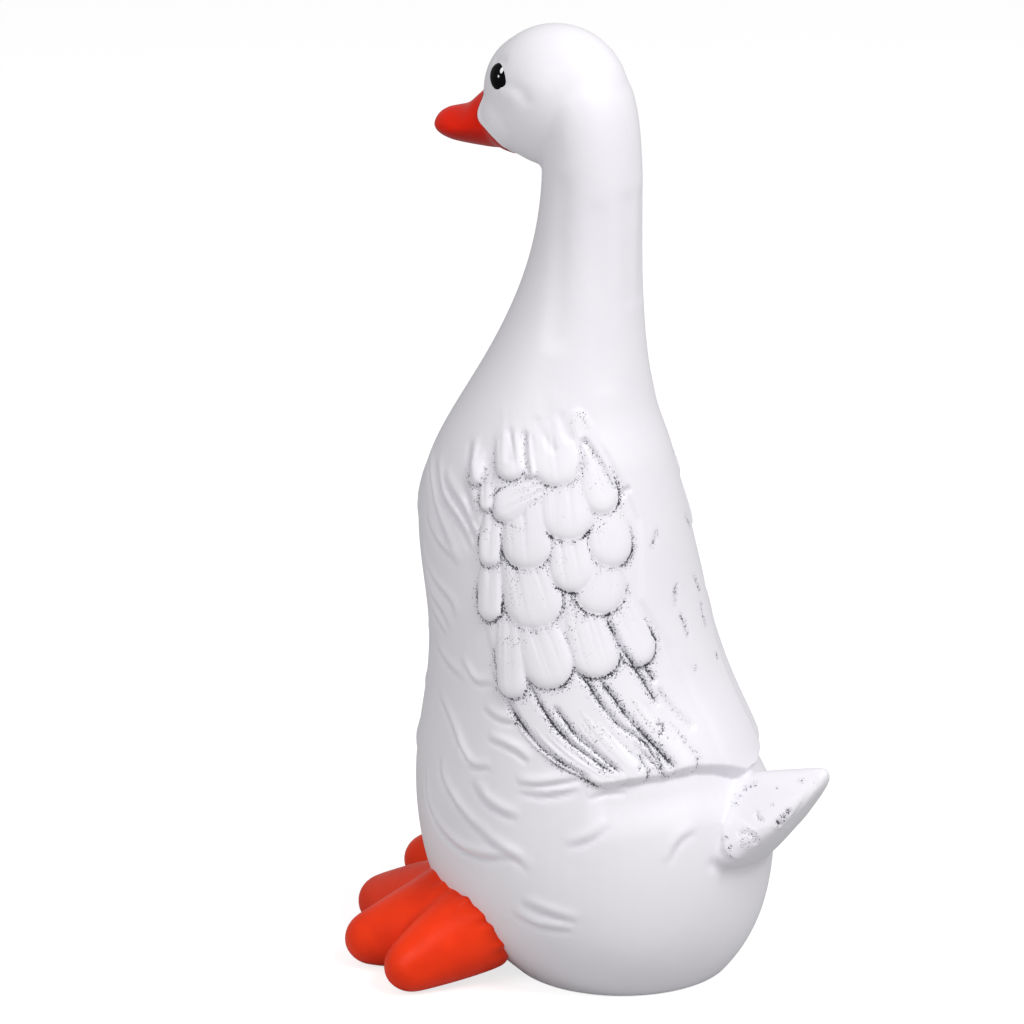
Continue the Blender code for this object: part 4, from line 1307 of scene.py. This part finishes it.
def feather_streaks(tree):
    """Fine streaks that run down each feather, strongest at its root."""
    grain = tree.nodes.new("ShaderNodeCombineXYZ")
    wire(tree, maths(tree, "MULTIPLY", attribute(tree, "aside"), STREAKS_ACROSS), grain.inputs["X"])
    wire(tree, maths(tree, "MULTIPLY", attribute(tree, "along"), STREAKS_ALONG), grain.inputs["Y"])
    lines = noise(tree, grain.outputs["Vector"], 1.0, 1.0)
    return maths(tree, "MULTIPLY", lines, attribute(tree, "streaks"))


def white_paint(group):
    """Satin white paint with a dark wash left in speckles along the carving, and painted shade in its dips.
    """
    material, tree = new_material("white_paint")
    shader = tree.nodes["Principled BSDF"]
    place = tree.nodes.new("ShaderNodeTexCoord").outputs["Object"]
    tone, surface = hand_painted(tree, group, WHITE_PATCHES, WHITE_GRAIN)
    dark, film_and_shade = wash_marks(tree, place)
    colour = blend(tree, maths(tree, "MULTIPLY", tone, 0.30), WHITE, WHITE_SHADE)
    colour = blend(tree, film_and_shade, colour, WASH_FILM_AND_SHADE)
    colour = blend(tree, dark, colour, WASH_BLACK)
    tree.links.new(colour, shader.inputs["Base Color"])
    tree.links.new(maths(tree, "MULTIPLY_ADD", tone, 0.10, 0.40), shader.inputs["Roughness"])
    relief = maths(tree, "MULTIPLY_ADD", feather_streaks(tree), 2.0, maths(tree, "MULTIPLY", surface, 0.25))
    bump(tree, shader, relief, 0.35, 0.0004)
    return material


def red_paint(name, group, color, shade):
    """Satin red paint, with painted shade in its dips, under the bill and at the bill's edge, and a slow
    change of tone.
    """
    material, tree = new_material(name)
    shader = tree.nodes["Principled BSDF"]
    tone, surface = hand_painted(tree, group, RED_PATCHES, RED_GRAIN)
    # Painted shade in dips, under the bill and along its edge, and a darker tone in slow patches.
    shade_and_tone = maths(tree, "MAXIMUM", attribute(tree, "painted_shade"), maths(tree, "MULTIPLY", tone, 0.25))
    tree.links.new(blend(tree, shade_and_tone, color, shade), shader.inputs["Base Color"])
    tree.links.new(maths(tree, "MULTIPLY_ADD", tone, 0.12, 0.30), shader.inputs["Roughness"])
    shader.inputs["Specular IOR Level"].default_value = 0.14
    bump(tree, shader, surface, 0.25, 0.0004)
    return material


def black_paint(group):
    """Black eye paint with two painted lights."""
    material, tree = new_material("black_paint")
    shader = tree.nodes["Principled BSDF"]
    tone, surface = hand_painted(tree, group, BLACK_PATCHES, BLACK_GRAIN)
    light = ramp(tree, attribute(tree, "glint"), 0.12, -0.12)
    tree.links.new(blend(tree, light, BLACK, GLINT), shader.inputs["Base Color"])
    tree.links.new(maths(tree, "MULTIPLY_ADD", tone, 0.08, 0.20), shader.inputs["Roughness"])
    shader.inputs["Specular IOR Level"].default_value = 0.03
    bump(tree, shader, surface, 0.15, 0.0002)
    return material


def floor_material():
    """White that the lamps light, lifted for the camera so that it reads as white paper."""
    material, tree = new_material("floor_white")
    shader = tree.nodes["Principled BSDF"]
    shader.inputs["Base Color"].default_value = (FLOOR_TONE, FLOOR_TONE, FLOOR_TONE, 1.0)
    shader.inputs["Roughness"].default_value = 0.9
    shader.inputs["Specular IOR Level"].default_value = 0.0
    path = tree.nodes.new("ShaderNodeLightPath")
    shader.inputs["Emission Color"].default_value = (1, 1, 1, 1)
    lift = maths(tree, "MULTIPLY", path.outputs["Is Camera Ray"], FLOOR_LIFT)
    tree.links.new(lift, shader.inputs["Emission Strength"])
    return material


def floor():
    pick_nothing()
    bpy.ops.mesh.primitive_plane_add(size=FLOOR_SIZE, location=(0, 0, -FLOOR_DROP))
    made = bpy.context.object
    made.name = "floor"
    made.data.materials.append(floor_material())


def view_axes():
    turn = math.radians(CAMERA_TURN)
    rise = math.radians(CAMERA_RISE)
    back = Vector((math.sin(turn) * math.cos(rise), -math.cos(turn) * math.cos(rise), math.sin(rise)))
    right = Vector((math.cos(turn), math.sin(turn), 0))
    return right, back.cross(right), back


def photo_camera(offset):
    right, up, back = view_axes()
    target = Vector(CAMERA_TARGET) + offset
    middle = PICTURE_WIDTH / 2
    aim = target + right * (middle - TARGET_PIXEL[0]) / PIXELS_PER_METRE
    aim += up * (TARGET_PIXEL[1] - middle) / PIXELS_PER_METRE
    place = target + back * CAMERA_DISTANCE
    data = bpy.data.cameras.new("photo_camera")
    data.lens = PIXELS_PER_METRE * CAMERA_DISTANCE * data.sensor_width / PICTURE_WIDTH
    made = bpy.data.objects.new("photo_camera", data)
    bpy.context.scene.collection.objects.link(made)
    made.location = place
    made.rotation_euler = (aim - place).to_track_quat("-Z", "Y").to_euler()
    bpy.context.scene.camera = made


def soft_box(name, right_share, up_share, back_share, distance, size, watts):
    right, up, back = view_axes()
    target = Vector(CAMERA_TARGET)
    direction = (right * right_share + up * up_share + back * back_share).normalized()
    data = bpy.data.lights.new(name, "AREA")
    data.shape = "SQUARE"
    data.size = size
    data.energy = watts
    made = bpy.data.objects.new(name, data)
    bpy.context.scene.collection.objects.link(made)
    made.location = target + direction * distance
    made.rotation_euler = (-direction).to_track_quat("-Z", "Y").to_euler()


def lighting():
    world = bpy.data.worlds.new("studio")
    bpy.context.scene.world = world
    world.use_nodes = True
    background = world.node_tree.nodes["Background"]
    background.inputs["Color"].default_value = (1, 1, 1, 1)
    background.inputs["Strength"].default_value = WORLD_STRENGTH
    soft_box("key", *KEY_BOX)
    soft_box("fill", *FILL_BOX)


def shift_onto_origin(pieces):
    """Moves all pieces so that the outline's middle, front to back, is over the origin."""
    reach = [vertex.co.y for piece in pieces for vertex in piece.data.vertices]
    offset = Vector((0, -(min(reach) + max(reach)) / 2, 0))
    for piece in pieces:
        piece.data.transform(Matrix.Translation(offset))
    return offset


def main():
    group = hand_painted_group()
    white = white_paint(group)
    red = red_paint("red_paint", group, RED, RED_SHADE)
    deep_red = red_paint("bill_red_paint", group, BILL_RED, BILL_RED_SHADE)
    black = black_paint(group)
    bodies, bill, trunk_skin = body_pieces()
    shade_bill(bill)
    pieces = [
        (bodies[0], white, "white_paint"),
        (bodies[1], white, "white_paint"),
        (bill, deep_red, "red_paint"),
        (foot_piece("left_foot", 1, LEFT_TOES, trunk_skin), red, "red_paint"),
        (foot_piece("right_foot", -1, RIGHT_TOES, trunk_skin), red, "red_paint"),
        (eye_piece("left_eye", 1), black, "black_paint"),
        (eye_piece("right_eye", -1), black, "black_paint"),
    ]
    offset = shift_onto_origin([piece for piece, _, _ in pieces])
    for piece, material, slot in pieces:
        piece.data.materials.clear()
        piece.data.materials.append(material)
        piece.data.shade_smooth()
        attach(piece, "root")
        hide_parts("duck_statue")
    bill.data.set_sharp_from_angle(angle=math.radians(BILL_CREASE_ANGLE))
    for half in bodies:
        shade_as_whole(half)
    floor()
    photo_camera(offset)
    lighting()
    bpy.context.scene.view_settings.view_transform = "Standard"


main()
